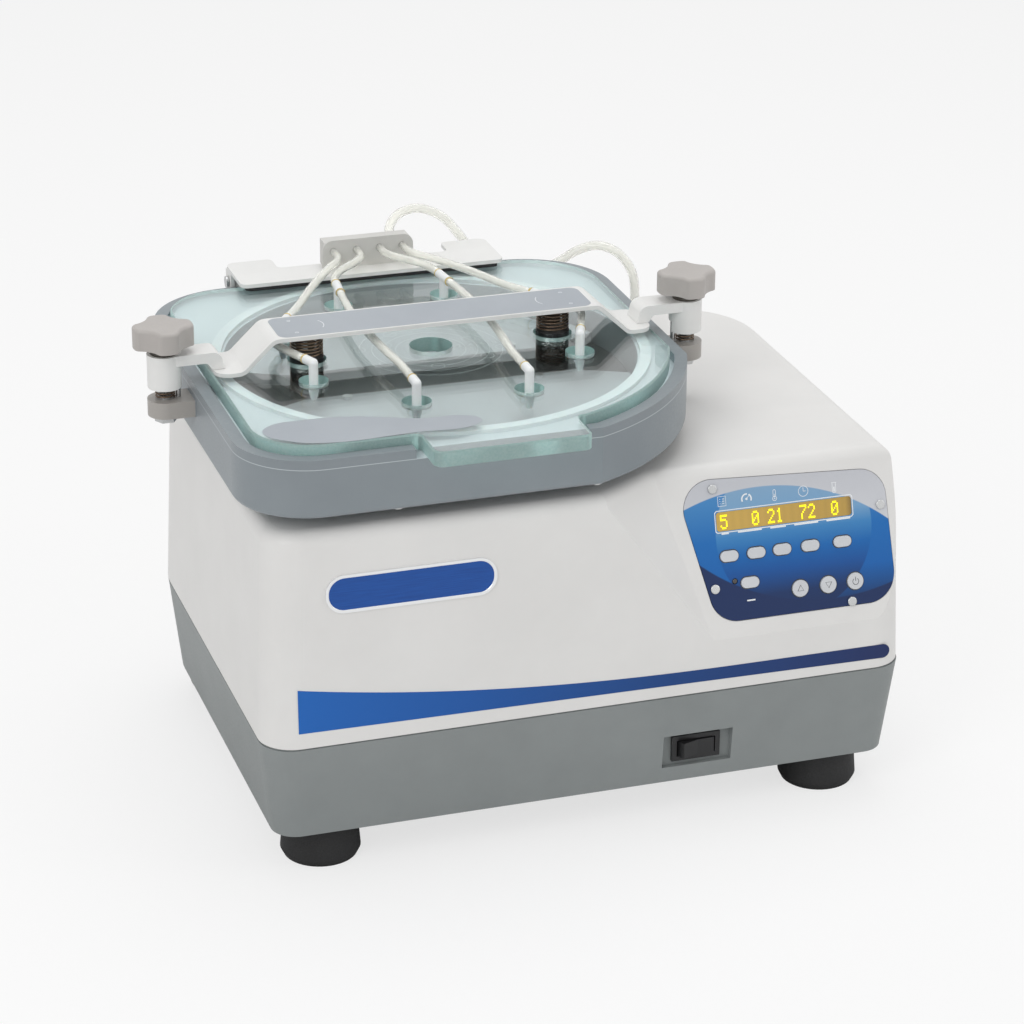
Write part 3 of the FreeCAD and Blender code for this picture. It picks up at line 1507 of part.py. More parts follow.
def make_tubes():
    """Each outlet's feed tube to a tee, and the jumper tube from that tee to the elbow before it."""
    tubes = []
    arm = number(s.fitting_arm)
    for side in (-1, 1):
        for outer in (False, True):
            x = s.outer_nozzle_x if outer else s.inner_nozzle_x
            y = s.outer_nozzle_y if outer else s.inner_nozzle_y
            tee_yaw = s.outer_tee_yaw if outer else s.inner_tee_yaw
            elbow_yaw = number(s.outer_elbow_yaw) if outer else 0
            outlet = number(s.outlet_pitch) * (1.5 if outer else 0.5)
            start_z, end_z = number(s.outlet_z), number(s.fitting_z)
            start_y = number(s.manifold_y)
            near = along(x, y, tee_yaw, -arm)
            nearer = along(x, y, tee_yaw, -arm - number(s.tube_lead))
            feed = [(outlet, start_y, start_z), (outlet, start_y - 11.1, start_z)]
            if outer:
                feed = feed + [(outlet + 3.08, 122.94, start_z), (outlet + 13.35, 110.2, start_z - 0.5)]
                feed = feed + [(outlet + 30.65, 85.7, start_z - 2.5), nearer + (end_z,), near + (end_z,)]
            else:
                feed = feed + [(outlet + 3.15, 124.3, start_z - 0.2), (outlet + 8.9, 119.02, start_z - 1.15)]
                feed = feed + [(outlet + 16.1, 116.5, start_z - 2.69), (outlet + 22.3, 111.57, start_z - 4.38)]
                feed = feed + [along(x, y, tee_yaw, -arm - 9) + (end_z,), near + (end_z,)]
            away = along(x, y, tee_yaw, arm)
            lead = number(s.outer_jumper_lead if outer else s.inner_jumper_lead)
            further = along(x, y, tee_yaw, arm + lead)
            tip = along(x, -y, 180 - elbow_yaw, arm)
            before = along(x, -y, 180 - elbow_yaw, arm + number(s.jumper_end))
            jumper = [away + (end_z,), further + (end_z,)]
            if outer:
                bulge = along(x, -y, 180 - elbow_yaw, arm + number(s.outer_jumper_end))
                jumper = jumper + [bulge + (end_z,), tip + (end_z,)]
            else:
                jumper = jumper + [(number(x) + 5, 20, end_z), (number(x) + 3, -22, end_z)]
                jumper = jumper + [before + (end_z,), tip + (end_z,)]
            for name, points in (("feed tube", feed), ("jumper tube", jumper)):
                points = [(px * side, py, pz) for px, py, pz in points]
                tubes.append(tube(name, points, s.tube_radius, s.barb_radius))
    node("gas_tubes", over_chamber(group(*tubes)))


def make_hoses():
    """The hose from the manifold to the bracket's clip, and on over the corner to the gas inlet."""
    port_y = number(s.manifold_y + s.manifold_thick + s.manifold_depth)
    port = (number(s.port_x), port_y, number(s.outlet_z))
    clip_x, clip_y, clip_z = number(s.clip_x), number(s.clip_y), number(s.clip_z)
    in_clip = (clip_x + 2, clip_y, clip_z)
    loop = [port, (port[0], port_y + 19, port[2]), (33.7, 190.1, 304.2), (50, 195.4, 305.9)]
    loop = loop + [(66.3, 191.4, 299.3), (76, 184, 287), (84, 177, 274), (91.7, 170.5, 263.6)]
    loop = loop + [(clip_x - 10, clip_y, clip_z), in_clip]
    node("lid_hose", over_chamber(tube("lid hose", loop, s.hose_radius, s.hose_bore)))
    hole_x, hole_y = number(s.hose_hole_x - s.chamber_x), number(s.hose_hole_y - s.chamber_y)
    over = [in_clip, (clip_x + 12, clip_y, clip_z), (140.2, 166, 266.4), (152.9, 161.1, 276.1)]
    over = over + [(165, 154.5, 281), (177, 147, 277), (186, 140.5, 264), (187.5, hole_y, 247)]
    over = over + [(hole_x + 0.5, hole_y - 0.5, 226), (hole_x + 1.5, hole_y + 1.5, 190)]
    over = over + [(hole_x, hole_y, 168), (hole_x, hole_y, number(s.gas_inlet_z) + 10)]
    node("deck_hose", over_chamber(tube("deck hose", over, s.hose_radius, s.hose_bore)))


def half_turn_arcs(start, start_heading, end, end_heading):
    """Two arcs with equal arms that join two points, tangent to a heading at each."""
    across = end - start
    both = start_heading + end_heading
    a = 2 * (1 - start_heading.dot(end_heading))
    b = across.dot(both)
    arm = (-b + math.sqrt(b * b + a * across.dot(across))) / a
    joint = (start + start_heading * arm + end - end_heading * arm) / 2
    return [heading_arc(start, start_heading, joint), heading_arc(end, -end_heading, joint)]


def heading_arc(start, heading, end):
    """The arc from a point along a heading to an end."""
    chord = end - start
    unit = chord / chord.Length
    bulge = (heading - unit * heading.dot(unit)).normalize()
    rise = chord.Length / 2 * math.tan(heading.getAngle(chord) / 2)
    return Part.Arc(start, start + chord / 2 + bulge * rise, end).toShape()


def coil(x, y, low, high, radius, wire, turns):
    """A compression spring standing between two heights, its ends straight for one wire's width."""
    x, y, low, high, radius, wire = (number(v) for v in (x, y, low, high, radius, wire))
    turns = int(number(turns))
    ease = 2 * wire * (high - low) / (2 * math.pi * radius * turns) + 0.1
    foot, head = low + wire + ease, high - wire - ease
    climb = (head - foot) / (2 * math.pi * turns)

    def point(angle):
        return FreeCAD.Vector(x + radius * math.cos(angle), y + radius * math.sin(angle), foot + climb * angle)

    def heading(angle):
        return FreeCAD.Vector(-radius * math.sin(angle), radius * math.cos(angle), climb).normalize()

    angles = [math.pi * i for i in range(2 * turns + 1)]
    edges = [Part.LineSegment(point(0) - heading(0) * 2 * wire, point(0)).toShape()]
    for before, after in zip(angles, angles[1:]):
        edges = edges + half_turn_arcs(point(before), heading(before), point(after), heading(after))
    last = angles[-1]
    edges.append(Part.LineSegment(point(last), point(last) + heading(last) * 2 * wire).toShape())
    gap = 2 * math.pi * climb * math.cos(math.atan(climb / radius)) - 2 * wire
    print(f"spring: {turns} curls, least gap {gap:.2f}")
    feature = doc.addObject("Part::Feature", "Coil")
    feature.Shape = swept(Part.Wire(Part.__sortEdges__(edges)), wire)
    return feature


def make_bar_springs():
    """The two springs between the plungers and the bar."""
    springs = []
    for side in (-1, 1):
        springs.append(
            coil(s.spring_x * side, 0, spring_seat_z, bar_low_z, s.spring_radius, s.spring_wire, s.spring_turns)
        )
    node("hold_down_springs", over_chamber(group(*springs)))


# the swing clamps


def make_clamp(name, side):
    """One clamp: a hooked arm on its bolt, the spring under it, a collar and a lobed knob over it."""
    x = s.chamber_x + s.stud_x * side
    inward = -side
    hook_z = glass_top_z + s.bar_thick + s.hook_gap
    under = s.arm_top_z - s.arm_thick
    body = new_body("ClampStrap")
    sketch = new_sketch(body, "XZ_Plane")
    corners = [
        (Size(0, "0"), under),
        ((s.arm_reach - s.hook_thick) * inward, under, 2.5),
        ((s.arm_reach - s.hook_thick + 3) * inward, hook_z),
        ((s.arm_reach + 3) * inward, hook_z),
        (s.arm_reach * inward, s.arm_top_z, 6),
        (Size(0, "0"), s.arm_top_z),
    ]
    outline(sketch, corners)
    pad(body, sketch, s.arm_width, both_ways=True)
    boss = rod(0, 0, s.boss_low_z, s.boss_radius, s.arm_top_z - s.boss_low_z)
    bore = rod(0, 0, s.boss_low_z, s.bolt_radius + s.running_gap, s.arm_top_z - s.boss_low_z)
    slot_height = s.stop_pin_top_z + 1 - s.boss_low_z
    sector = rod(0, 0, s.boss_low_z, s.boss_radius + 1, slot_height)
    start = 180 - number(s.slot_sweep) + number(s.slot_lead) if side > 0 else -number(s.slot_lead)
    sector.Placement.Rotation = FreeCAD.Rotation(FreeCAD.Vector(0, 0, 1), start)
    bind(sector, Angle=s.slot_sweep)
    core = rod(0, 0, s.boss_low_z, s.stop_pin_reach - s.stop_pin_radius - 0.4, slot_height)
    arm = cut(fuse(body, boss), bore, cut(sector, core))
    node(f"{name}_clamp_arm", place(arm, x, s.chamber_y, 0))
    collar = rod(0, 0, s.arm_top_z, s.collar_radius, s.knob_top_z - s.knob_thick - s.arm_top_z)
    collar_bore = rod(0, 0, s.arm_top_z, s.bolt_radius + s.running_gap, 10)
    node(f"{name}_clamp_collar", place(cut(collar, collar_bore), x, s.chamber_y, 0))
    make_knob(name, x)
    spring = coil(0, 0, s.lug_top_z, s.boss_low_z, s.clamp_spring_radius, s.clamp_spring_wire, s.clamp_spring_turns)
    node(f"{name}_clamp_spring", place(spring, x, s.chamber_y, 0))


def make_knob(name, x):
    """A knob of four lobes, bored for the bolt."""
    body = new_body("Knob")
    low = s.knob_top_z - s.knob_thick
    sketch = new_sketch(body, offset=low)
    circle(sketch, 0, 0, s.knob_radius)
    pad(body, sketch, s.knob_thick)
    notches = new_sketch(body, offset=s.knob_top_z)
    away = (s.knob_radius + s.knob_notch_radius - s.knob_notch_depth) * math.sqrt(0.5)
    for i in (-1, 1):
        for j in (-1, 1):
            circle(notches, away * i, away * j, s.knob_notch_radius)
    pocket(body, notches, s.knob_thick)
    bore = new_sketch(body, offset=low + s.knob_bore_depth)
    circle(bore, 0, 0, s.bolt_radius + s.running_gap)
    pocket(body, bore, s.knob_bore_depth)
    fillet(body, s.knob_edge, is_vertical)
    fillet(body, s.knob_top_round, lambda edge: is_level(edge, s.knob_top_z))
    node(f"{name}_clamp_knob", place(body, x, s.chamber_y, 0))


# all the sub-parts, checked and written


def make_everything():
    make_base_pan()
    make_feet()
    make_upper_housing()
    make_control_overlay()
    make_display_window()
    make_control_board()
    make_panel_trim()
    for name in key_names():
        make_key(name)
    make_switch()
    make_power_inlet()
    make_gas_inlet()
    make_power_supply()
    make_drive_frame()
    make_motor()
    make_chamber_hub()
    make_chamber_tub()
    make_well_parts()
    make_hinge_bracket()
    make_clamp_posts()
    make_glass_lid()
    make_hold_down_bar()
    make_bar_springs()
    make_hinge_plate()
    make_manifold()
    make_fittings()
    make_tubes()
    make_hoses()
    make_clamp("left", -1)
    make_clamp("right", 1)


make_everything()
doc.recompute()
for thing in doc.Objects:
    if "Invalid" in thing.State or "Error" in thing.State:
        raise ValueError(f"{thing.Label} does not recompute")
for name, thing in nodes.items():
    if thing.Shape.isNull() or not thing.Shape.isValid() or not thing.Shape.Solids:
        raise ValueError(f"{name} has no valid solid")
os.makedirs("parts", exist_ok=True)
for name, thing in nodes.items():
    thing.Shape.exportStep(f"parts/{name}.step")
print(len(nodes), "sub-parts written")
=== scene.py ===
import math

import bpy
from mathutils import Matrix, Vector


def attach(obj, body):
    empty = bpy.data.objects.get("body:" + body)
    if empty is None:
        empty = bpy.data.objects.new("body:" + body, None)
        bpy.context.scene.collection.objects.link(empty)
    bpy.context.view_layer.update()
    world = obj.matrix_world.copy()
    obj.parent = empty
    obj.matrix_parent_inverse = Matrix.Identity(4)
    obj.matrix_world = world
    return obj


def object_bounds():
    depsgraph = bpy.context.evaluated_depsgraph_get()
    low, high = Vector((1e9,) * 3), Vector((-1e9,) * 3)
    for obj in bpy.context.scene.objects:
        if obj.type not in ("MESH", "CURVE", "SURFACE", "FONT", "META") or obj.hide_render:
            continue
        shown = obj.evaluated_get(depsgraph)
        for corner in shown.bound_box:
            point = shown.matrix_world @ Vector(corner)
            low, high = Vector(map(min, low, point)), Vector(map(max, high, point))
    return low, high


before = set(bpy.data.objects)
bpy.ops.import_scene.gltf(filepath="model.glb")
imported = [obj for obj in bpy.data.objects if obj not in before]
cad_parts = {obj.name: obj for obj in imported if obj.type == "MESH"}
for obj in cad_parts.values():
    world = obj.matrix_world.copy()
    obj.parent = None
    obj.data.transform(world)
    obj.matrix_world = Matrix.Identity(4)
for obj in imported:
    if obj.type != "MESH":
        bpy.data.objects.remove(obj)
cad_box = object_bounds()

bpy.ops.object.select_all(action="DESELECT")


# The base pan: a grey tray of rigid polyurethane foam, cast in a mould and sprayed with
# a textured two-part paint. It carries everything, with the power switch in its front.


def srgb(code):
    """An sRGB hex value as the linear colour that a socket takes."""
    parts = [int(code[i : i + 2], 16) / 255 for i in (1, 3, 5)]
    return [p / 12.92 if p <= 0.04045 else ((p + 0.055) / 1.055) ** 2.4 for p in parts] + [1]


def add(tree, kind, sockets={}, stops=(), **settings):
    """Adds a node. Each socket gets a plain value, or a link from another node's output."""
    node = tree.nodes.new("ShaderNode" + kind)
    for name, value in settings.items():
        setattr(node, name, value)
    for name, value in sockets.items():
        if isinstance(value, bpy.types.NodeSocket):
            tree.links.new(value, node.inputs[name])
        else:
            node.inputs[name].default_value = value
    for i, (spot, code) in enumerate(stops):
        stop = node.color_ramp.elements[i] if i < 2 else node.color_ramp.elements.new(spot)
        stop.position = spot
        stop.color = srgb(code)
    return node


def start_material(name, sockets):
    """A material with a Principled shader, its plain values set, and its Object coordinates."""
    made = bpy.data.materials.new(name)
    made.use_nodes = True
    tree = made.node_tree
    tree.nodes.clear()
    place = add(tree, "TexCoord").outputs["Object"]
    shader = add(tree, "BsdfPrincipled", sockets)
    add(tree, "OutputMaterial", {"Surface": shader.outputs["BSDF"]})
    return made, tree, place, shader


def grain(tree, place, shader, size_mm, height_mm, low, high, darker, lighter):
    """Gives a surface bumps of a real size, uneven gloss, and a slow drift of colour."""
    fine = add(tree, "TexNoise", {"Vector": place, "Scale": 1000 / size_mm, "Detail": 3.0})
    slow = add(tree, "TexNoise", {"Vector": place, "Scale": 14.0, "Detail": 4.0, "Roughness": 0.6})
    bump = add(
        tree,
        "Bump",
        {"Height": fine.outputs["Fac"], "Strength": 0.6, "Distance": height_mm / 1000},
    )
    spread = {"From Min": 0.3, "From Max": 0.7, "To Min": low, "To Max": high}
    gloss = add(tree, "MapRange", {"Value": fine.outputs["Fac"]} | spread)
    tint = add(
        tree,
        "ValToRGB",
        {"Fac": slow.outputs["Fac"]},
        stops=[(0.35, darker), (0.65, lighter)],
    )
    tree.links.new(tint.outputs["Color"], shader.inputs["Base Color"])
    tree.links.new(gloss.outputs["Result"], shader.inputs["Roughness"])
    tree.links.new(bump.outputs["Normal"], shader.inputs["Normal"])


def dress(made, *names):
    """Gives CAD nodes their material."""
    for name in names:
        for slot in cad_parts[name].material_slots:
            slot.material = made


# Textured polyurethane paint: eggshell gloss over a stipple of about 1 mm.
pan_paint, tree, place, shader = start_material("textured_grey_paint", {"IOR": 1.5})
grain(tree, place, shader, 1.1, 0.05, 0.42, 0.56, "#868B8B", "#8D9292")
dress(pan_paint, "base_pan")


# The upper housing: the same cast foam, painted off-white, with a facet beside the leaning
# control panel. It sits in the pan's groove and its deck carries the shaking chamber.

# The same stippled paint in off-white, a little smoother.
housing_paint, tree, place, shader = start_material("textured_white_paint", {"IOR": 1.5})
grain(tree, place, shader, 1.1, 0.04, 0.38, 0.5, "#E3E2E0", "#E7E6E4")
dress(housing_paint, "upper_housing")


# The stripe: a printed vinyl strip along the front of the housing, wide at the left and
# narrow at the right, where its end is round. It is a bare strip, pressed on by hand.

MM = 0.001
HOUSING_X = 21.5 * MM
FRONT_LEAN = math.atan(5 / 137)
FRONT_Y = -0.161
PAN_TOP_Z = 0.091


def front_point(x, z, out=0.0):
    """A point on the housing's front, from a place along it and a height."""
    y = FRONT_Y + (z - PAN_TOP_Z) * math.tan(FRONT_LEAN)
    return Vector((x, y - out * math.cos(FRONT_LEAN), z + out * math.sin(FRONT_LEAN)))


def flat_plate(name, length, width, corner, thick, segments=8):
    """A level plate at the origin with round corners, standing on its underside."""
    bpy.ops.mesh.primitive_plane_add(size=1)
    made = bpy.context.object
    made.name = name
    made.scale = (length, width, 1)
    bpy.ops.object.transform_apply(location=False, rotation=False, scale=True)
    bpy.ops.object.mode_set(mode="EDIT")
    bpy.ops.mesh.select_all(action="SELECT")
    bpy.ops.mesh.bevel(offset=corner, segments=segments, affect="VERTICES")
    bpy.ops.mesh.select_all(action="SELECT")
    bpy.ops.mesh.extrude_region_move(TRANSFORM_OT_translate={"value": (0, 0, thick)})
    bpy.ops.mesh.select_all(action="SELECT")
    bpy.ops.mesh.normals_make_consistent(inside=False)
    bpy.ops.object.mode_set(mode="OBJECT")
    return made


def pick(made):
    """Selects one object alone, and makes it the active one."""
    bpy.ops.object.select_all(action="DESELECT")
    made.select_set(True)
    bpy.context.view_layer.objects.active = made


def settle(made, where, tilt=0.0, turn=0.0):
    """Puts a piece in its place, and keeps that place in its mesh."""
    pick(made)
    made.rotation_euler = (tilt, 0, turn)
    made.location = where
    bpy.ops.object.transform_apply(location=True, rotation=True, scale=True)
    return made


def cover(made, material, body, edge=20):
    """Gives a new piece its material, its smooth shading, and the body it rides on."""
    pick(made)
    bpy.ops.object.shade_smooth_by_angle(angle=math.radians(edge))
    made.data.materials.clear()
    made.data.materials.append(material)
    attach(made, body)
    return made


STRIPE_LEFT = -166.3 * MM
STRIPE_RIGHT = 217.0 * MM
STRIPE_LENGTH = STRIPE_RIGHT - STRIPE_LEFT
STRIPE_THICK = 0.15 * MM
STRIPE_CUTS = 79
TOP_MM = 106.4
TOP_RISE_MM = 23.3
LEVEL_FROM = 0.75
BOTTOM_MM = 101.2
BOTTOM_FALL_MM = 4.2
stripe = flat_plate("front_stripe", STRIPE_LENGTH, 1.0, 0.1 * MM, STRIPE_THICK, 1)
bpy.ops.object.mode_set(mode="EDIT")
bpy.ops.mesh.select_all(action="SELECT")
bpy.ops.mesh.subdivide(number_cuts=STRIPE_CUTS)
bpy.ops.object.mode_set(mode="OBJECT")
for point in stripe.data.vertices:
    # the cuts lie closer together towards the round end
    along = 1 - (0.5 - point.co.x / STRIPE_LENGTH) ** 2
    point.co.x = (along - 0.5) * STRIPE_LENGTH
    high = TOP_MM + TOP_RISE_MM * max(0.0, 1 - along / LEVEL_FROM) ** 2.3
    low = BOTTOM_MM - BOTTOM_FALL_MM * along
    middle, half = (high + low) / 2, (high - low) / 2
    share = max(-1.0, min(1.0, point.co.y / 0.5))
    left = (1 - along) * STRIPE_LENGTH * 1000
    if left < half:
        half = math.sqrt(max(half**2 - (half - left) ** 2, 0.0))
    point.co.y = (middle + half * share) * MM
stripe_start = front_point((STRIPE_LEFT + STRIPE_RIGHT) / 2, 0.0, 0.02 * MM)
settle(stripe, stripe_start, math.pi / 2 - FRONT_LEAN)

# Printed vinyl: bright blue at the left that deepens to navy, under a gloss film.
stripe_vinyl, tree, place, shader = start_material(
    "blue_printed_vinyl",
    {"Roughness": 0.4, "IOR": 1.4, "Coat Weight": 0.1, "Coat Roughness": 0.2},
)
axes = add(tree, "SeparateXYZ", {"Vector": place})
along = add(
    tree,
    "MapRange",
    {"Value": axes.outputs["X"], "From Min": STRIPE_LEFT, "From Max": STRIPE_RIGHT},
)
hue = add(
    tree,
    "ValToRGB",
    {"Fac": along.outputs["Result"]},
    stops=[(0.0, "#0F63B9"), (1.0, "#12265A"), (0.28, "#0A55A5"), (0.62, "#073F80")],
)
film = add(tree, "TexNoise", {"Vector": place, "Scale": 300.0, "Detail": 2.0})
bump = add(tree, "Bump", {"Height": film.outputs["Fac"], "Strength": 0.2, "Distance": 0.00002})
tree.links.new(hue.outputs["Color"], shader.inputs["Base Color"])
tree.links.new(bump.outputs["Normal"], shader.inputs["Normal"])
cover(stripe, stripe_vinyl, "base")


# The plate on the front: a plain rounded plate of anodised aluminium, blue with a bare
# silver rim, with nothing printed on it. It is held by adhesive foam.

PLATE_LENGTH = 106 * MM
PLATE_HEIGHT = 24 * MM
PLATE_THICK = 1.1 * MM
PLATE_RIM = 1.6 * MM
PLATE_CORNER = PLATE_HEIGHT * 0.48
PLATE_X = -94.7 * MM
PLATE_Z = 188 * MM


def open_faces(made, way):
    """Starts editing an object with only its upper (way 1) or lower (way -1) faces selected."""
    bpy.ops.object.mode_set(mode="EDIT")
    bpy.ops.mesh.select_all(action="DESELECT")
    bpy.ops.object.mode_set(mode="OBJECT")
    for face in made.data.polygons:
        face.select = face.normal.z * way > 0.9
    bpy.ops.object.mode_set(mode="EDIT")


front_plate = flat_plate("front_plate", PLATE_LENGTH, PLATE_HEIGHT, PLATE_CORNER, PLATE_THICK, 14)
open_faces(front_plate, 1)
bpy.ops.mesh.inset(thickness=PLATE_RIM, depth=0)
bpy.ops.mesh.inset(thickness=0.3 * MM, depth=-0.3 * MM)
bpy.ops.object.mode_set(mode="OBJECT")
settle(front_plate, front_point(PLATE_X, PLATE_Z, 0.05 * MM), math.pi / 2 - FRONT_LEAN)


def brush(tree, place, strength):
    """A fine grain brushed along X, as bumps, and the noise that it comes from."""
    turned = add(tree, "Mapping", {"Vector": place, "Scale": (60, 2500, 2500)})
    noise = {"Vector": turned.outputs["Vector"], "Scale": 1.0, "Detail": 2.0}
    brushed = add(tree, "TexNoise", noise)
    height = {"Height": brushed.outputs["Fac"], "Strength": strength, "Distance": 0.00002}
    return brushed, add(tree, "Bump", height)


# Anodised aluminium, dyed blue: satin, with a fine brushed grain along its length.
plate_blue, tree, place, shader = start_material(
    "blue_anodised_aluminium",
    {"Metallic": 0.1, "Roughness": 0.4, "IOR": 1.45, "Coat Weight": 0.1},
)
brushed, bump = brush(tree, place, 0.2)
hue = add(
    tree,
    "ValToRGB",
    {"Fac": brushed.outputs["Fac"]},
    stops=[(0.3, "#0A4694"), (0.7, "#0E52A6")],
)
tree.links.new(hue.outputs["Color"], shader.inputs["Base Color"])
tree.links.new(bump.outputs["Normal"], shader.inputs["Normal"])
# The bare rim of the same sheet, cut bright: it reads as a pale line round the blue.
plate_rim, tree, place, shader = start_material(
    "bright_cut_aluminium", {"Metallic": 0.5, "Roughness": 0.3, "Base Color": srgb("#F2F3F4")}
)
brushed, bump = brush(tree, place, 0.15)
tree.links.new(bump.outputs["Normal"], shader.inputs["Normal"])
cover(front_plate, plate_blue, "base")
front_plate.data.materials.append(plate_rim)
plate_middle = front_point(PLATE_X, PLATE_Z)
outwards = Vector((0, -math.cos(FRONT_LEAN), math.sin(FRONT_LEAN)))
for face in front_plate.data.polygons:
    raised = (face.center - plate_middle).dot(outwards)
    if raised > PLATE_THICK or abs(face.normal.z) > 0.3 or abs(face.normal.x) > 0.3:
        face.material_index = 1


# The feet: four pucks of black rubber under the pan's corners, moulded with a soft matt skin
# and held by a screw from inside.

# Nitrile rubber: nearly black, matt, with a fine orange-peel skin.
foot_rubber, tree, place, shader = start_material("black_rubber", {"IOR": 1.52})
grain(tree, place, shader, 0.8, 0.05, 0.6, 0.78, "#171718", "#202021")
dress(foot_rubber, "rubber_feet", "hinge_rubber", "vortex_mounts")


# The control overlay: a polycarbonate plate printed from behind, in a recess of the leaning
# panel. Light grey at the top, blue that deepens downwards, and curved darker fields.

PANEL_LEAN = math.radians(16.7)
PANEL_TILT = math.pi / 2 - PANEL_LEAN
PANEL_FOOT_Z = 124.6 * MM
PANEL_START = front_point(HOUSING_X, PANEL_FOOT_Z)


def panel_point(x_mm, up_mm, out_mm=0.0):
    """A point on the leaning panel: along it, up its slope and out of it."""
    x, up, out = x_mm * MM, up_mm * MM, out_mm * MM
    y = up * math.sin(PANEL_LEAN) - out * math.cos(PANEL_LEAN)
    z = up * math.cos(PANEL_LEAN) + out * math.sin(PANEL_LEAN)
    return PANEL_START + Vector((x, y, z))


def panel_place(tree, place):
    """The panel's own coordinates in millimetres, whole and split into axes."""
    frame_of = {"Location": PANEL_START, "Rotation": (PANEL_TILT, 0, 0), "Scale": (MM, MM, MM)}
    flat = add(tree, "Mapping", {"Vector": place} | frame_of, vector_type="TEXTURE")
    return flat, add(tree, "SeparateXYZ", {"Vector": flat.outputs["Vector"]})


def beyond(tree, flat, centre, radius, blur):
    """A mask of the panel's area outside a circle, whose edge is softened over a short way."""
    spots = {0: flat.outputs["Vector"], 1: (*centre, 0.3)}
    reach = add(tree, "VectorMath", spots, operation="DISTANCE")
    ends = {"From Min": radius, "From Max": radius + blur}
    return add(tree, "MapRange", {"Value": reach.outputs["Value"]} | ends).outputs["Result"]


def mix(tree, share, first, second):
    """A mix of two colours by a share."""
    return add(tree, "Mix", {0: share, 6: first, 7: second}, data_type="RGBA").outputs[2]


# Printed polycarbonate: the inks lie under a satin film that has a faint orange-peel texture.
overlay_film, tree, place, shader = start_material(
    "printed_polycarbonate", {"IOR": 1.4, "Coat Weight": 0.05, "Coat Roughness": 0.2}
)
flat, axes = panel_place(tree, place)
rise = add(tree, "MapRange", {"Value": axes.outputs["Y"], "From Min": 10, "From Max": 95})
main = add(
    tree,
    "ValToRGB",
    {"Fac": rise.outputs["Result"]},
    stops=[
        (0.0, "#142A56"),
        (1.0, "#86A9C8"),
        (0.17, "#133161"),
        (0.34, "#10529A"),
        (0.48, "#1266B0"),
        (0.62, "#3F85C0"),
        (0.74, "#79A5CB"),
    ],
)
# an even blue outside a circle round the keys, seen at the left and at the right
side_field = beyond(tree, flat, (135.0, 62.0), 51.5, 0.7)
side_blue = add(
    tree,
    "ValToRGB",
    {"Fac": rise.outputs["Result"]},
    stops=[(0.0, "#12264F"), (1.0, "#4F90C6"), (0.3, "#1262AE"), (0.6, "#1A6CB6")],
)
sided = mix(tree, side_field, main.outputs["Color"], side_blue.outputs["Color"])
# navy along the bottom, below a wide shallow arc
deep_field = beyond(tree, flat, (159.0, 154.5), 137.6, 0.8)
deep = mix(tree, deep_field, sided, srgb("#142C5A"))
# the pale band at the top, above the blue's wide arc
band_field = beyond(tree, flat, (112.5, -45.6), 137.2, 0.6)
band_grey = add(
    tree,
    "ValToRGB",
    {"Fac": rise.outputs["Result"]},
    stops=[(0.6, "#D3D5DA"), (1.0, "#C6C8CE")],
)
inks = mix(tree, band_field, deep, band_grey.outputs["Color"])
peel = add(tree, "TexNoise", {"Vector": flat.outputs["Vector"], "Scale": 1.4, "Detail": 2.0})
film = add(tree, "MapRange", {"Value": peel.outputs["Fac"], "To Min": 0.3, "To Max": 0.42})
bump = add(tree, "Bump", {"Height": peel.outputs["Fac"], "Strength": 0.15, "Distance": 0.00004})
tree.links.new(inks, shader.inputs["Base Color"])
tree.links.new(film.outputs["Result"], shader.inputs["Roughness"])
tree.links.new(bump.outputs["Normal"], shader.inputs["Normal"])
dress(overlay_film, "control_overlay")


# The display window: a smoked amber pane over a dot-matrix display, flush with the overlay,
# whose lit digits show through it. The pane is glued in from behind.

# Amber acrylic lit from behind: brown-gold, with the display's darker columns showing.
window_pane, tree, place, shader = start_material(
    "smoked_amber_acrylic",
    {"IOR": 1.49, "Roughness": 0.12, "Coat Weight": 0.5, "Emission Strength": 0.25},
)
flat, axes = panel_place(tree, place)
reach = add(tree, "MapRange", {"Value": axes.outputs["X"], "From Min": 84, "From Max": 174.5})
glow = add(
    tree,
    "ValToRGB",
    {"Fac": reach.outputs["Result"]},
    stops=[(0.0, "#B8953F"), (1.0, "#7A5F22"), (0.3, "#B4923F"), (0.95, "#A88736")],
)
wave = {"Vector": flat.outputs["Vector"], "Scale": 0.056, "Distortion": 0.0}
columns = add(tree, "TexWave", wave, bands_direction="X")
shade = add(tree, "MapRange", {"Value": columns.outputs["Fac"], "To Min": 0.95, "To Max": 1.0})
dimmed = {0: glow.outputs["Color"], "Scale": shade.outputs["Result"]}
lit = add(tree, "VectorMath", dimmed, operation="SCALE")
tree.links.new(lit.outputs["Vector"], shader.inputs["Base Color"])
tree.links.new(lit.outputs["Vector"], shader.inputs["Emission Color"])
dress(window_pane, "display_window")

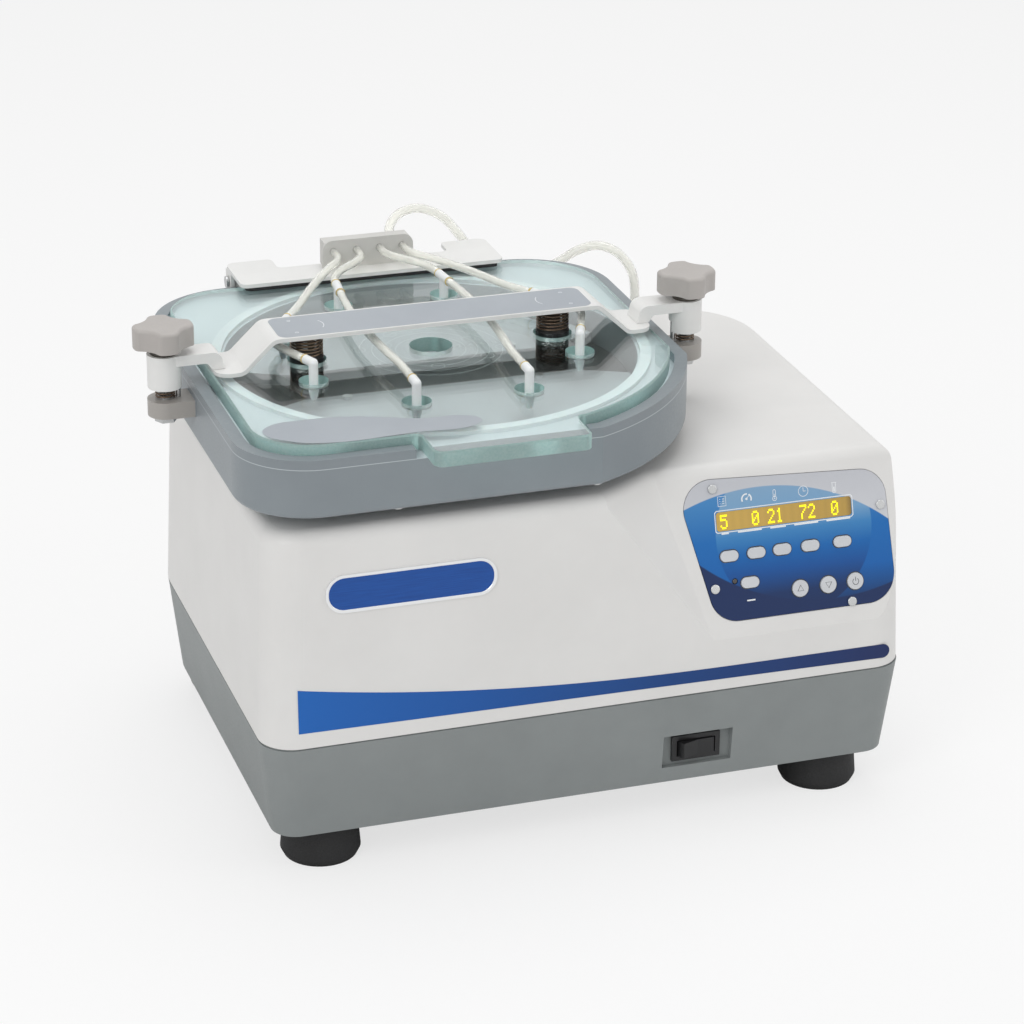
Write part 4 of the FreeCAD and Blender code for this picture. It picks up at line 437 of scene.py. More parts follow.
# the digits, each of five columns and seven rows of dots, with its middle along the panel
DOT_WIDE = 0.92
DOT_HIGH = 1.28
DIGITS_UP = 72.7
DOTS = {
    "0": ".###.|#...#|#..##|#.#.#|##..#|#...#|.###.",
    "1": "..#..|.##..|..#..|..#..|..#..|..#..|.###.",
    "2": ".###.|#...#|....#|...#.|..#..|.#...|#####",
    "5": "#####|#....|####.|....#|....#|#...#|.###.",
    "7": "#####|....#|...#.|..#..|.#...|.#...|.#...",
}
DIGITS = [("5", 89.2), ("0", 110.1), ("2", 120.5), ("1", 126.1)]
DIGITS = DIGITS + [("7", 141.9), ("2", 147.5), ("0", 163.0)]
dots = []
for digit, middle in DIGITS:
    for row, line in enumerate(DOTS[digit].split("|")):
        for column, mark in enumerate(line):
            if mark == "#":
                bpy.ops.mesh.primitive_plane_add(size=MM)
                dot = bpy.context.object
                x = middle + (column - 2) * DOT_WIDE
                up = DIGITS_UP + (3 - row) * DOT_HIGH
                dot.location = (x * MM, up * MM, 0)
                dot.scale = (DOT_WIDE * 0.96, DOT_HIGH * 0.94, 1)
                dots.append(dot)
for dot in dots:
    dot.select_set(True)
bpy.ops.object.join()
digits = bpy.context.object
digits.name = "display_digits"
bpy.ops.object.transform_apply(location=True, rotation=True, scale=True)
bpy.ops.object.mode_set(mode="EDIT")
bpy.ops.mesh.select_all(action="SELECT")
bpy.ops.mesh.extrude_region_move(TRANSFORM_OT_translate={"value": (0, 0, 0.06 * MM)})
bpy.ops.mesh.select_all(action="SELECT")
bpy.ops.mesh.normals_make_consistent(inside=False)
bpy.ops.object.mode_set(mode="OBJECT")
settle(digits, panel_point(0, 0, 0.04), PANEL_TILT)

# Lit segments of the display: a clear yellow light of their own, even over each dot.
lit_dots, tree, place, shader = start_material(
    "yellow_display_light", {"Roughness": 0.4, "Emission Strength": 0.75}
)
speck = add(tree, "TexNoise", {"Vector": place, "Scale": 900.0, "Detail": 1.0})
hue = add(
    tree,
    "ValToRGB",
    {"Fac": speck.outputs["Fac"]},
    stops=[(0.3, "#F1E400"), (0.7, "#FFF420")],
)
tree.links.new(hue.outputs["Color"], shader.inputs["Base Color"])
tree.links.new(hue.outputs["Color"], shader.inputs["Emission Color"])
cover(digits, lit_dots, "base")


# The panel's printed marks: white lines under each field of the display, a small picture
# above each, and a dark line round every key. Screen-printed ink, raised a few hundredths.


def circle_line(x, y, radius, start=0.0, end=360.0):
    """Points on a circle from one angle to another, in millimetres."""
    count = max(4, int(abs(end - start) / 12))
    angles = [math.radians(start + (end - start) * i / count) for i in range(count + 1)]
    return [(x + radius * math.cos(a), y + radius * math.sin(a)) for a in angles]


def key_line(x, y, length, height):
    """The outline of an oval key, in millimetres."""
    reach = (length - height) / 2
    right = circle_line(x + reach, y, height / 2, -90, 90)
    left = circle_line(x - reach, y, height / 2, 90, 270)
    return right + left + right[:1]


def as_mesh(name, drawn):
    """Puts a curve or a text into the scene as a mesh."""
    made = bpy.data.objects.new(name, drawn)
    bpy.context.scene.collection.objects.link(made)
    pick(made)
    bpy.ops.object.convert(target="MESH")
    return bpy.context.object


def printed_lines(name, strokes, width_mm, where, tilt, material, body):
    """Strokes in millimetres, drawn as flat ribbons of ink on a surface."""
    drawn = bpy.data.curves.new(name, "CURVE")
    drawn.dimensions = "3D"
    drawn.bevel_depth = width_mm * MM / 2
    drawn.bevel_resolution = 1
    drawn.use_fill_caps = True
    for stroke in strokes:
        line = drawn.splines.new("POLY")
        line.points.add(len(stroke) - 1)
        for point, (x, y) in zip(line.points, stroke):
            point.co = (x * MM, y * MM, 0, 1)
    made = as_mesh(name, drawn)
    made.scale = (1, 1, 0.15)
    settle(made, where, tilt)
    return cover(made, material, body, 60)


def panel_print(name, strokes, width_mm, material):
    """Strokes of ink on the overlay."""
    surface = panel_point(0, 0, 0.31)
    printed_lines(name, strokes, width_mm, surface, PANEL_TILT, material, "base")


# Screen ink, white: flat and matt, with the weave of the screen showing as slight unevenness.
white_ink, tree, place, shader = start_material("white_screen_ink", {"IOR": 1.45})
grain(tree, place, shader, 0.4, 0.01, 0.45, 0.6, "#E9EDF0", "#F5F7F8")
dark_ink, tree, place, shader = start_material("dark_screen_ink", {"IOR": 1.45})
grain(tree, place, shader, 0.4, 0.01, 0.45, 0.6, "#3A3E44", "#474B51")

OVAL_PLACES = {
    "program_key": (90.9, 51.3),
    "speed_key": (108.8, 51.3),
    "heat_key": (126.0, 51.3),
    "time_key": (144.8, 51.3),
    "sample_key": (166.3, 51.3),
    "preheat_key": (103.3, 33.4),
}
ROUND_PLACES = {
    "increase_key": (136.1, 25.5),
    "decrease_key": (154.9, 25.5),
    "run_stop_key": (173.1, 25.5),
}
RULES_UP = 65.4
rules = [(89.5, 2.4), (105.8, 7.9), (124.5, 5.2), (143.3, 8.0), (164.9, 8.0)]
strokes = [[(x - half, RULES_UP), (x + half, RULES_UP)] for x, half in rules]
strokes = strokes + [[(100.6, 22.2), (106.0, 22.2)]]
panel_print("panel_rules", strokes, 0.9, white_ink)

# a list, a gauge's needle, a thermometer, a clock and a tube
pictures = [[(86.2, 82.6), (91.4, 82.6), (91.4, 88.6), (86.2, 88.6), (86.2, 82.6)]]
for up in (87.0, 85.6, 84.2):
    pictures = pictures + [[(87.3, up), (87.9, up)], [(89.0, up), (90.4, up)]]
pictures = pictures + [
    [(105.1, 85.3), (107.2, 87.6)],
    [(123.6, 86.2), (123.6, 83.9)],
    [(142.8, 85.6), (142.8, 88.0)],
    [(142.8, 85.6), (144.4, 85.6)],
    circle_line(142.8, 85.6, 3.2),
    [(122.8, 84.4), (122.8, 88.0)] + circle_line(123.6, 88.0, 0.8, 180, 0) + [(124.4, 84.4)],
    circle_line(123.6, 83.3, 1.35),
    [(162.3, 88.6), (162.3, 83.2)] + circle_line(163.4, 83.2, 1.1, 180, 360) + [(164.5, 88.6)],
    [(161.6, 88.6), (165.2, 88.6)],
]
panel_print("panel_pictures", pictures, 0.35, white_ink)
bold = [circle_line(105.1, 85.2, 3.1, 205, 80), circle_line(105.1, 85.2, 3.1, 60, -25)]
bold = bold + [circle_line(105.1, 85.2, 0.3)]
bold = bold + [[(163.4, 86.0), (163.4, 82.9)], [(123.6, 83.6), (123.6, 83.0)]]
panel_print("panel_gauge", bold, 0.9, white_ink)

rings = [key_line(x, up, 12.7, 7.7) for x, up in OVAL_PLACES.values()]
rings = rings + [circle_line(x, up, 5.75) for x, up in ROUND_PLACES.values()]
panel_print("key_outlines", rings, 0.45, dark_ink)
corners = [(84.6, 66.2), (173.8, 66.2), (174.9, 67.3), (174.9, 78.7), (173.8, 79.8)]
corners = corners + [(84.6, 79.8), (83.5, 78.7), (83.5, 67.3), (84.6, 66.2)]
panel_print("window_outline", [corners], 0.6, white_ink)


# The keys: six oval and three round caps of light grey silicone rubber that stand through
# the overlay on stems. The round ones carry an up mark, a down mark and a switch mark.

# Silicone keypad rubber with a hard lacquer: pale cool grey, satin, with a soft fine skin.
key_rubber, tree, place, shader = start_material(
    "lacquered_silicone", {"IOR": 1.45, "Coat Weight": 0.15, "Coat Roughness": 0.3}
)
grain(tree, place, shader, 0.6, 0.02, 0.36, 0.5, "#CDCFD3", "#D6D8DB")
dress(key_rubber, *OVAL_PLACES)
dress(key_rubber, *ROUND_PLACES)

up_mark = [(136.1, 27.6), (134.1, 24.0), (138.1, 24.0), (136.1, 27.6), (134.1, 24.0)]
down_mark = [(154.9, 23.5), (156.9, 27.1), (152.9, 27.1), (154.9, 23.5), (156.9, 27.1)]
power_mark = [circle_line(173.1, 25.3, 2.0, 125, 415), [(173.1, 25.6), (173.1, 28.2)]]
key_marks = [
    ("up_mark", [up_mark], "increase_key"),
    ("down_mark", [down_mark], "decrease_key"),
    ("power_mark", power_mark, "run_stop_key"),
]
key_top = panel_point(0, 0, 1.5)
for name, strokes, body in key_marks:
    printed_lines(name, strokes, 0.4, key_top, PANEL_TILT, dark_ink, body)


# The lamp, screws and circuit board of the panel: an unlit indicator lens, four steel screws
# with domed heads, and the green board behind, where the key stems press.

# Tinted epoxy lens of an indicator, unlit: dark, glossy, slightly see-through at its rim.
lamp_lens, tree, place, shader = start_material("dark_epoxy_lens", {"IOR": 1.5, "Coat Weight": 0.6})
grain(tree, place, shader, 0.5, 0.005, 0.08, 0.16, "#2E2A28", "#3D3733")
dress(lamp_lens, "preheat_lamp")

# Stainless steel, cold-headed and tumbled: bright with fine random scuffs.
screw_steel, tree, place, shader = start_material("tumbled_stainless_steel", {"Metallic": 1.0})
grain(tree, place, shader, 0.35, 0.01, 0.2, 0.36, "#B9BBBC", "#D2D3D3")
dress(screw_steel, "panel_screws", "plate_screws", "hinge_pins", "clamp_bolts", "stop_pins")

# Fibreglass circuit board under green solder mask, which shows the weave and copper tracks.
board_mask, tree, place, shader = start_material(
    "green_solder_mask",
    {"IOR": 1.55, "Roughness": 0.35, "Coat Weight": 0.3, "Coat Roughness": 0.2},
)
greens = {"Color1": srgb("#1D5B38"), "Color2": srgb("#1A5233"), "Mortar": srgb("#2F7A4D")}
weave = add(tree, "TexBrick", {"Vector": place, "Scale": 260.0} | greens)
bump = add(tree, "Bump", {"Height": weave.outputs["Fac"], "Strength": 0.3, "Distance": 0.00003})
tree.links.new(weave.outputs["Color"], shader.inputs["Base Color"])
tree.links.new(bump.outputs["Normal"], shader.inputs["Normal"])
dress(board_mask, "control_board")


# The power switch and the power inlet: black moulded nylon, snapped into the pan. The rocker
# lies at one side, and its face catches a soft light along its valley.

# Glass-filled nylon: black, satin, with a fine spark-eroded texture from its mould.
black_nylon, tree, place, shader = start_material("black_moulded_nylon", {"IOR": 1.53})
grain(tree, place, shader, 0.5, 0.02, 0.28, 0.42, "#131314", "#1B1B1D")
dress(black_nylon, "switch_bezel", "power_rocker", "power_inlet", "spring_plungers")


# The gas inlet and the power supply: a turned brass fitting with hose barbs through the back
# wall, and a folded case of plated sheet steel inside the housing.

# Turned brass: warm metal with fine rings left by the lathe.
turned_brass, tree, place, shader = start_material("turned_brass", {"Metallic": 1.0})
grain(tree, place, shader, 0.4, 0.01, 0.2, 0.34, "#B0904E", "#C7A765")
dress(turned_brass, "gas_inlet_fitting")

# Zinc-plated sheet steel: pale grey metal with the faint spangle of the coating.
plated_sheet, tree, place, shader = start_material("zinc_plated_sheet", {"Metallic": 0.9})
spangle = add(tree, "TexVoronoi", {"Vector": place, "Scale": 130.0})
hue = add(
    tree,
    "ValToRGB",
    {"Fac": spangle.outputs["Distance"]},
    stops=[(0.0, "#A9AEB1"), (0.8, "#BFC3C5")],
)
depth = spangle.outputs["Distance"]
gloss = add(tree, "MapRange", {"Value": depth, "To Min": 0.3, "To Max": 0.48})
bump = add(tree, "Bump", {"Height": depth, "Strength": 0.1, "Distance": 0.00003})
tree.links.new(hue.outputs["Color"], shader.inputs["Base Color"])
tree.links.new(gloss.outputs["Result"], shader.inputs["Roughness"])
tree.links.new(bump.outputs["Normal"], shader.inputs["Normal"])
dress(plated_sheet, "power_supply", "drive_frame")


# The shaking drive: a gear motor hung under a steel frame, whose shaft turns an eccentric hub
# with a balance weight. The chamber's hub runs on it in a ball bearing.

# Painted motor case: dark grey enamel over the drawn steel shell.
motor_enamel, tree, place, shader = start_material(
    "dark_grey_enamel", {"IOR": 1.5, "Metallic": 0.2}
)
grain(tree, place, shader, 0.8, 0.02, 0.3, 0.45, "#4C5053", "#585C5F")
dress(motor_enamel, "drive_motor")

# Ground bearing steel: bright and hard, with fine rings round its axis.
ground_steel, tree, place, shader = start_material("ground_steel", {"Metallic": 1.0})
grain(tree, place, shader, 0.3, 0.008, 0.16, 0.28, "#BFC1C2", "#D4D5D5")
dress(ground_steel, "motor_shaft", "hub_bearing", "eccentric_hub")

# Machined aluminium: pale satin metal, turned on a lathe.
turned_aluminium, tree, place, shader = start_material("turned_aluminium", {"Metallic": 0.9})
grain(tree, place, shader, 0.5, 0.015, 0.3, 0.42, "#C2C4C5", "#D0D2D3")
dress(turned_aluminium, "chamber_hub")


# The sample chamber: a cast aluminium tub, painted blue-grey. Under the glass lie a black
# anodised base and two grey heater plates, held by screws, and a white gasket round them.

# Powder coat over cast metal: blue-grey, satin, with the faint orange peel of baked powder.
tub_coat, tree, place, shader = start_material(
    "blue_grey_powder_coat", {"IOR": 1.5, "Coat Weight": 0.12, "Coat Roughness": 0.3}
)
grain(tree, place, shader, 1.6, 0.03, 0.36, 0.48, "#81898E", "#878F94")
# the lugs are bare cast metal, and the ledge under the glass is painted paler: a painted reflection
# that stands in for the white mirrored by the glass above it


def step(tree, value, start, end):
    """A mask that goes from 0 to 1 between two values."""
    ends = {"From Min": start, "From Max": end}
    return add(tree, "MapRange", {"Value": value} | ends).outputs["Result"]


AXIS = Vector((-39 * MM, -13.5 * MM, 0))
LUGS_FROM = 0.1532
LEDGE_Z = 0.27
axes = add(tree, "SeparateXYZ", {"Vector": place})
aside = add(tree, "Math", {0: axes.outputs["X"], 1: -AXIS.x}, operation="ADD")
aside = add(tree, "Math", {0: aside.outputs["Value"]}, operation="ABSOLUTE")
bare = step(tree, aside.outputs["Value"], LUGS_FROM, LUGS_FROM + 0.4 * MM)
high = step(tree, axes.outputs["Z"], LEDGE_Z - 0.3 * MM, LEDGE_Z - 0.1 * MM)
low = step(tree, axes.outputs["Z"], LEDGE_Z + 0.3 * MM, LEDGE_Z + 0.1 * MM)
painted_reflection_mask = add(tree, "Math", {0: high, 1: low}, operation="MULTIPLY")
painted = shader.inputs["Base Color"].links[0].from_socket
# painted reflection: the ledge under the glass is mixed towards a pale blue-grey
lighter = mix(tree, painted_reflection_mask.outputs["Value"], painted, srgb("#BFC7CB"))
cast = mix(tree, bare, lighter, srgb("#A7A39E"))
tree.links.new(cast, shader.inputs["Base Color"])
dress(tub_coat, "chamber_tub")

# Hard-anodised aluminium: black and smooth, a little cloudy.
black_anodised, tree, place, shader = start_material("black_hard_anodising", {"Metallic": 0.2})
grain(tree, place, shader, 0.6, 0.01, 0.3, 0.44, "#171819", "#1F2021")
dress(black_anodised, "block_base")

# Bead-blasted aluminium plate, clear-anodised: even pale grey that hardly shines.
plate_metal, tree, place, shader = start_material("bead_blasted_aluminium", {"Metallic": 0.35})
grain(tree, place, shader, 0.5, 0.02, 0.42, 0.56, "#A6ABAF", "#AFB4B8")
dress(plate_metal, "front_heater_plate", "rear_heater_plate")

# Silicone foam gasket: white, soft and matt, with fine open cells.
white_foam, tree, place, shader = start_material(
    "white_silicone_foam", {"IOR": 1.41, "Subsurface Weight": 0.1, "Subsurface Scale": 0.002}
)
grain(tree, place, shader, 0.9, 0.08, 0.6, 0.75, "#CDD4D6", "#D8DDDE")
dress(white_foam, "lid_gasket")

# the two pan-head screws under the tub's front edge, modelled once and copied
bpy.ops.object.select_all(action="DESELECT")
bpy.ops.mesh.primitive_cylinder_add(vertices=32, radius=3.6 * MM, depth=2.4 * MM)
tub_screw = bpy.context.object
tub_screw.name = "tub_screw_1"
open_faces(tub_screw, -1)
bpy.ops.mesh.bevel(offset=0.9 * MM, segments=3, affect="EDGES")
open_faces(tub_screw, 1)
bpy.ops.mesh.inset(thickness=-1.2 * MM, depth=0)
bpy.ops.mesh.extrude_region_move(TRANSFORM_OT_translate={"value": (0, 0, 0.8 * MM)})
bpy.ops.mesh.select_all(action="SELECT")
bpy.ops.mesh.normals_make_consistent(inside=False)
bpy.ops.object.mode_set(mode="OBJECT")
second_screw = tub_screw.copy()
second_screw.data = tub_screw.data.copy()
second_screw.name = "tub_screw_2"
bpy.context.scene.collection.objects.link(second_screw)
TUB_UNDER = 239 * MM
for screw, x in ((tub_screw, -62), (second_screw, 62)):
    settle(screw, AXIS + Vector((x * MM, -137 * MM, TUB_UNDER - 2.0 * MM)))
    cover(screw, screw_steel, "chamber", 35)


# The hinge bracket: sheet steel bent and powder-coated white, screwed to the back of the tub,
# with barrels that the lid's pins turn in.

# Powder coat, white: satin, with the faint orange peel of baked powder.
white_coat, tree, place, shader = start_material(
    "white_powder_coat", {"IOR": 1.5, "Coat Weight": 0.12, "Coat Roughness": 0.3}
)
grain(tree, place, shader, 1.5, 0.025, 0.34, 0.46, "#E6E6E4", "#ECECEA")
dress(white_coat, "hinge_bracket", "hinge_plate", "hold_down_bar")
dress(white_coat, "left_clamp_arm", "right_clamp_arm")


# The glass lid: one sheet of toughened soda-lime glass with its edges ground, and holes for
# the vent, the nozzles and the springs. The grip tab at its front is part of the sheet.

# Float glass: clear and smooth on its faces. The ground edges and hole walls scatter the
# green of the iron in it, so they read as pale teal.


def let_light_through(tree, shader, tint):
    """Lets a see-through material tint the light behind it and not block it."""
    light = add(tree, "LightPath")
    through = add(tree, "BsdfTransparent", {"Color": srgb(tint)})
    parts = {1: shader.outputs["BSDF"], 2: through.outputs["BSDF"]}
    both = add(tree, "MixShader", {0: light.outputs["Is Shadow Ray"]} | parts)
    tree.links.new(both.outputs["Shader"], tree.nodes["Material Output"].inputs["Surface"])


lid_glass, tree, place, shader = start_material(
    "toughened_float_glass", {"IOR": 1.52, "Coat Weight": 0.0}
)
facing = add(tree, "NewGeometry")
turned = add(tree, "SeparateXYZ", {"Vector": facing.outputs["True Normal"]})
upright = add(tree, "Math", {0: turned.outputs["Z"]}, operation="ABSOLUTE")
edge = step(tree, upright.outputs["Value"], 0.95, 0.75)
ground = add(tree, "TexNoise", {"Vector": place, "Scale": 700.0, "Detail": 3.0})
teal = add(
    tree,
    "ValToRGB",
    {"Fac": ground.outputs["Fac"]},
    stops=[(0.3, "#B2D8D4"), (0.7, "#C6E4E0")],
)
hue = mix(tree, edge, srgb("#F3FAF9"), teal.outputs["Color"])
clear = add(tree, "MapRange", {"Value": edge, "To Min": 1.0, "To Max": 0.5})
rough = add(tree, "MapRange", {"Value": edge, "To Min": 0.015, "To Max": 0.32})
tree.links.new(hue, shader.inputs["Base Color"])
tree.links.new(clear.outputs["Result"], shader.inputs["Transmission Weight"])
tree.links.new(rough.outputs["Result"], shader.inputs["Roughness"])
let_light_through(tree, shader, "#EEF6F5")
dress(lid_glass, "glass_lid")

# the bare grey strip on the glass, cut to follow the corner of the lid and the grip tab
LABEL_EDGE = [(-136, -113), (-131, -102.5), (-107, -98.5), (-80, -101), (-60, -108.5)]
LABEL_EDGE = LABEL_EDGE + [(-42, -116), (-14, -119.5), (-7.5, -127), (-13, -135)]
LABEL_EDGE = LABEL_EDGE + [(-50, -136.3), (-108, -136), (-124, -128.5)]
GLASS_TOP = 282 * MM
drawn = bpy.data.curves.new("lid_label", "CURVE")
drawn.dimensions = "2D"
drawn.fill_mode = "BOTH"
drawn.extrude = 0.06 * MM
drawn.resolution_u = 8
line = drawn.splines.new("BEZIER")
line.bezier_points.add(len(LABEL_EDGE) - 1)
for point, (x, y) in zip(line.bezier_points, LABEL_EDGE):
    point.co = (x * MM, y * MM, 0)
    point.handle_left_type = "AUTO"
    point.handle_right_type = "AUTO"
line.use_cyclic_u = True
lid_label = as_mesh("lid_label", drawn)
settle(lid_label, AXIS + Vector((0, 0, GLASS_TOP + 0.08 * MM)))

# Polyester label, printed grey and laminated: satin, with a faint dust of texture.
label_film, tree, place, shader = start_material("grey_polyester_label", {"IOR": 1.57})
grain(tree, place, shader, 0.7, 0.01, 0.34, 0.46, "#9FA6AE", "#A7AEB5")
cover(lid_label, label_film, "lid")

# the rings and numbers fired on the underside of the glass, round the vent
RING_SIZES = [22, 29.5, 37, 45]
SMALL_RING = 4.2
SMALL_RINGS = [(29.5, 150), (37, 118), (37, 205), (45, 165)]
SMALL_RINGS = SMALL_RINGS + [(29.5, 262), (37, 325), (45, 348), (29.5, 20)]
UNDER_GLASS_Z = 272.44 * MM
rings = [circle_line(0, 0, radius) for radius in RING_SIZES]
for radius, angle in SMALL_RINGS:
    spot = math.radians(angle)
    rings.append(circle_line(radius * math.cos(spot), radius * math.sin(spot), SMALL_RING))
# Ceramic enamel fired on glass: thin white lines that let a little light through.
fired_enamel, tree, place, shader = start_material(
    "white_fired_enamel", {"IOR": 1.5, "Transmission Weight": 0.3}
)
grain(tree, place, shader, 0.5, 0.01, 0.4, 0.55, "#D3D9DB", "#E2E7E8")
under_glass = AXIS + Vector((0, 0, UNDER_GLASS_Z))
printed_lines("lid_rings", rings, 0.35, under_glass, 0.0, fired_enamel, "lid")
for i, number in enumerate(("2", "4", "6", "8")):
    drawn = bpy.data.curves.new("ring_number_" + number, "FONT")
    drawn.body = number
    drawn.size = 6 * MM
    drawn.extrude = 0.03 * MM
    drawn.align_x = "CENTER"
    drawn.align_y = "CENTER"
    made = as_mesh("ring_number_" + number, drawn)
    settle(made, under_glass + Vector(((RING_SIZES[i] - 3.4) * MM, 0, 0)))
    cover(made, fired_enamel, "lid")


# The hold-down bar's parts: a bent white strip across the lid with a bare grey label on it,
# two bronze springs under it, and black plungers in the holes of the glass.

# Phosphor-bronze spring wire, browned by heat: dark warm metal, drawn smooth.
spring_wire, tree, place, shader = start_material("browned_spring_bronze", {"Metallic": 0.9})
grain(tree, place, shader, 0.4, 0.01, 0.24, 0.36, "#5F5044", "#7B6A5B")
dress(spring_wire, "hold_down_springs", "left_clamp_spring", "right_clamp_spring")

BAR_TOP = 303.5 * MM
bar_label = flat_plate("bar_label", 202 * MM, 34.6 * MM, 6 * MM, 0.12 * MM)
settle(bar_label, AXIS + Vector((0, 0, BAR_TOP + 0.02 * MM)))
cover(bar_label, label_film, "lid")
swing_marks = []
for side in (-1, 1):
    swing_marks.append(circle_line(side * 80, 0, 11, 90 + side * 55, 90 + side * 125))
    swing_marks.append(circle_line(side * 88.5, 10.5, 0.9))
    swing_marks.append(circle_line(side * 88.5, -10.5, 0.9))
label_top = AXIS + Vector((0, 0, BAR_TOP + 0.15 * MM))
printed_lines("bar_marks", swing_marks, 0.4, label_top, 0.0, white_ink, "lid")


# The manifold: a warm grey block on the hinge plate, with four outlets for the tubes, and the
# inlet port behind it.

# Moulded acetal with warm grey pigment: dense and smooth, a soft satin.
manifold_acetal, tree, place, shader = start_material("warm_grey_acetal", {"IOR": 1.48})
grain(tree, place, shader, 0.9, 0.02, 0.34, 0.46, "#C9C8C4", "#D2D1CD")
dress(manifold_acetal, "gas_manifold")


# The gas fittings: four elbows and four tees of natural nylon, with a soft seat in each hole
# of the glass, tubes pushed on their barbs, and an amber ring where each tube ends.

# Natural nylon: milky white, and light enters it a little.
natural_nylon, tree, place, shader = start_material(
    "natural_nylon",
    {
        "IOR": 1.53,
        "Subsurface Weight": 0.35,
        "Subsurface Scale": 0.002,
        "Subsurface Radius": (1.0, 1.0, 0.9),
    },
)
grain(tree, place, shader, 0.8, 0.01, 0.26, 0.38, "#EEF1F2", "#F6F8F8")
dress(natural_nylon, "elbow_fittings", "tee_fittings")
# Natural silicone of the seats and tips: greyer and softer than the nylon.
seat_silicone, tree, place, shader = start_material(
    "grey_silicone", {"IOR": 1.41, "Subsurface Weight": 0.2, "Subsurface Scale": 0.002}
)
grain(tree, place, shader, 0.8, 0.02, 0.4, 0.55, "#B4BABB", "#C3C9C9")
dress(seat_silicone, "nozzle_seats")

# Clear flexible vinyl tubing: see-through, with a faint cream tint and soft long highlights.
clear_vinyl, tree, place, shader = start_material(
    "clear_vinyl_tubing", {"IOR": 1.3, "Transmission Weight": 0.72}
)
pull = add(tree, "TexNoise", {"Vector": place, "Scale": 220.0, "Detail": 2.0})
hue = add(
    tree,
    "ValToRGB",
    {"Fac": pull.outputs["Fac"]},
    stops=[(0.3, "#F8F8F4"), (0.7, "#FDFDFA")],
)
gloss = add(tree, "MapRange", {"Value": pull.outputs["Fac"], "To Min": 0.04, "To Max": 0.12})
bump = add(tree, "Bump", {"Height": pull.outputs["Fac"], "Strength": 0.05, "Distance": 0.00003})
tree.links.new(hue.outputs["Color"], shader.inputs["Base Color"])
tree.links.new(gloss.outputs["Result"], shader.inputs["Roughness"])
tree.links.new(bump.outputs["Normal"], shader.inputs["Normal"])
let_light_through(tree, shader, "#EFEFEA")
dress(clear_vinyl, "gas_tubes", "lid_hose", "deck_hose")

# the amber rings, one where each tube is pushed against a fitting's arm
FITTING_Z = 293 * MM
FITTING_ARM = 8.0
RING_REACH = FITTING_ARM + 0.85
ring_places = []
for side in (-1, 1):
    ring_places.append((35.5 * side, -88, 180))
    ring_places.append((85.5 * side, -37, 159 * side))
    for x, y, yaw in ((35.5, 88, 6), (85.5, 37, 34)):
        ring_places.append((x * side, y, yaw * side))
        ring_places.append((x * side, y, (yaw - 180) * side))
bpy.ops.object.select_all(action="DESELECT")
bpy.ops.mesh.primitive_torus_add(
    major_radius=2.72 * MM, minor_radius=0.4 * MM, major_segments=36, minor_segments=12
)
first_ring = bpy.context.object
first_ring.scale = (1, 1, 2.0)
bpy.ops.object.transform_apply(location=False, rotation=False, scale=True)
# Tube end softened by solvent: the vinyl has turned amber and swollen round the barb.
amber_vinyl, tree, place, shader = start_material(
    "amber_vinyl", {"IOR": 1.45, "Transmission Weight": 0.35, "Roughness": 0.15}
)
grain(tree, place, shader, 0.6, 0.02, 0.12, 0.2, "#EBD07F", "#F6E2A4")
for i, (x, y, yaw) in enumerate(ring_places):
    made = first_ring.copy()
    made.data = first_ring.data.copy()
    made.name = f"tube_ring_{i + 1}"
    bpy.context.scene.collection.objects.link(made)
    heading = math.radians(yaw)
    spot_x = x + RING_REACH * math.sin(heading)
    spot_y = y - RING_REACH * math.cos(heading)
    spot = AXIS + Vector((spot_x * MM, spot_y * MM, FITTING_Z))
    settle(made, spot, math.pi / 2, heading)
    cover(made, amber_vinyl, "lid", 60)
bpy.data.objects.remove(first_ring)


# The swing clamps: at each side a white cast arm on a steel bolt, with a spring below it and a
# warm grey knob that screws the arm down on the end of the bar.

# Moulded phenolic: warm grey, dull satin, with a slight cloudiness from the powder it came from.
knob_phenolic, tree, place, shader = start_material("warm_grey_phenolic", {"IOR": 1.55})
grain(tree, place, shader, 1.2, 0.03, 0.38, 0.52, "#B0ABA7", "#B9B4B0")
dress(knob_phenolic, "left_clamp_knob", "right_clamp_knob")
# Collars of oxidised steel: dark and satin.
dark_steel, tree, place, shader = start_material("oxidised_steel", {"Metallic": 0.8})
grain(tree, place, shader, 0.4, 0.01, 0.3, 0.42, "#4B4844", "#5D5954")
dress(dark_steel, "left_clamp_collar", "right_clamp_collar")


# The studio: a pale floor that keeps the object's shadow, a white surround, and large soft
# lamps above, at the left and at the right, at a plain level.

FLOOR_Z = cad_box[0].z
FLOOR_GLOW = 0.7
SURROUND = 0.58
AIM = Vector((0, 0, 0.15))


def seen_rays(tree):
    """The light path, and a mask of what the camera sees, also through glass."""
    light = add(tree, "LightPath")
    rays = {0: light.outputs["Is Camera Ray"], 1: light.outputs["Is Transmission Ray"]}
    return light, add(tree, "Math", rays, operation="MAXIMUM").outputs["Value"]


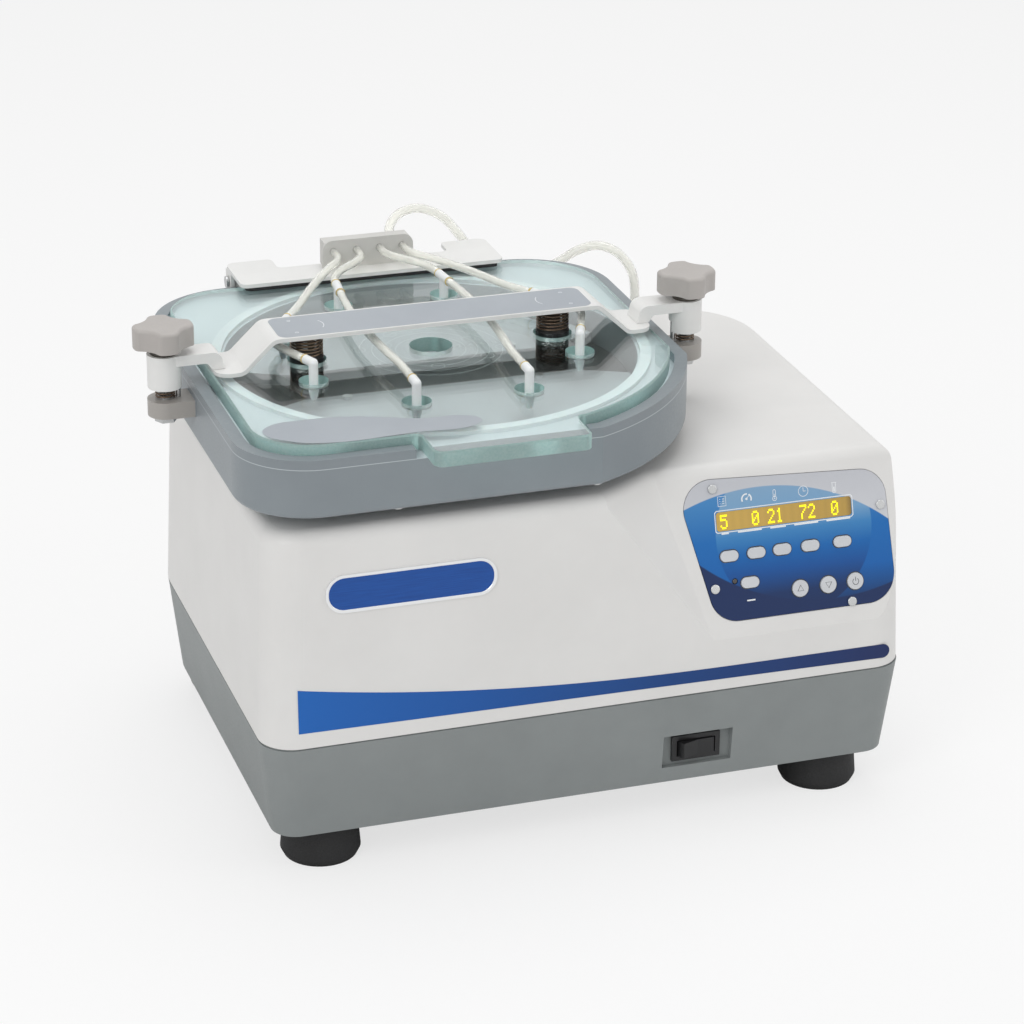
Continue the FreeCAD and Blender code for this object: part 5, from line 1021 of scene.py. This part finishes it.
bpy.ops.object.select_all(action="DESELECT")
bpy.ops.mesh.primitive_plane_add(size=30, location=(0, 0, FLOOR_Z))
floor = bpy.context.object
floor.name = "studio_floor"
floor_paper = bpy.data.materials.new("white_paper_floor")
floor_paper.use_nodes = True
tree = floor_paper.node_tree
tree.nodes.clear()
paper = add(tree, "BsdfDiffuse", {"Color": srgb("#F6F6F6")})
glow = add(tree, "Emission", {"Color": srgb("#FFFFFF"), "Strength": 1.0})
light, seen = seen_rays(tree)
share = add(tree, "Math", {0: seen, 1: FLOOR_GLOW}, operation="MULTIPLY")
both = add(
    tree,
    "MixShader",
    {0: share.outputs["Value"], 1: paper.outputs["BSDF"], 2: glow.outputs["Emission"]},
)
add(tree, "OutputMaterial", {"Surface": both.outputs["Shader"]})
floor.data.materials.append(floor_paper)

world = bpy.data.worlds.new("white_surround")
bpy.context.scene.world = world
world.use_nodes = True
tree = world.node_tree
tree.nodes.clear()
light, seen = seen_rays(tree)
glossy = {0: seen, 1: light.outputs["Is Glossy Ray"]}
mirrored = add(tree, "Math", glossy, operation="MAXIMUM").outputs["Value"]
strength = add(tree, "MapRange", {"Value": mirrored, "To Min": SURROUND, "To Max": 1.0})
white = {"Color": srgb("#FFFFFF"), "Strength": strength.outputs["Result"]}
around = add(tree, "Background", white)
add(tree, "OutputWorld", {"Surface": around.outputs["Background"]})

# each lamp's name, place, size in metres and power in watts
LAMPS = [
    ("left_lamp", (-1.7, -1.5, 1.7), 1.3, 15.0),
    ("top_lamp", (0.2, 0.5, 2.3), 1.6, 13.0),
    ("right_lamp", (1.9, -1.2, 1.2), 1.2, 6.0),
]
for name, spot, size, power in LAMPS:
    lamp = bpy.data.lights.new(name, "AREA")
    lamp.shape = "DISK"
    lamp.size = size
    lamp.energy = power
    holder = bpy.data.objects.new(name, lamp)
    bpy.context.scene.collection.objects.link(holder)
    holder.location = spot
    holder.rotation_euler = (AIM - Vector(spot)).to_track_quat("-Z", "Y").to_euler()


# The camera, where the photograph was taken from.

PHOTO_LENS_MM = 117.49
PHOTO_PLACE = (-0.60339, -1.88368, 1.01771)
PHOTO_ANGLES = (66.4995, -0.376, -18.1365)
camera_lens = bpy.data.cameras.new("photo_camera")
camera_lens.lens = PHOTO_LENS_MM
camera_lens.sensor_width = 36
camera = bpy.data.objects.new("photo_camera", camera_lens)
bpy.context.scene.collection.objects.link(camera)
camera.location = PHOTO_PLACE
camera.rotation_euler = [math.radians(angle) for angle in PHOTO_ANGLES]
bpy.context.scene.camera = camera
bpy.context.scene.view_settings.view_transform = "Standard"
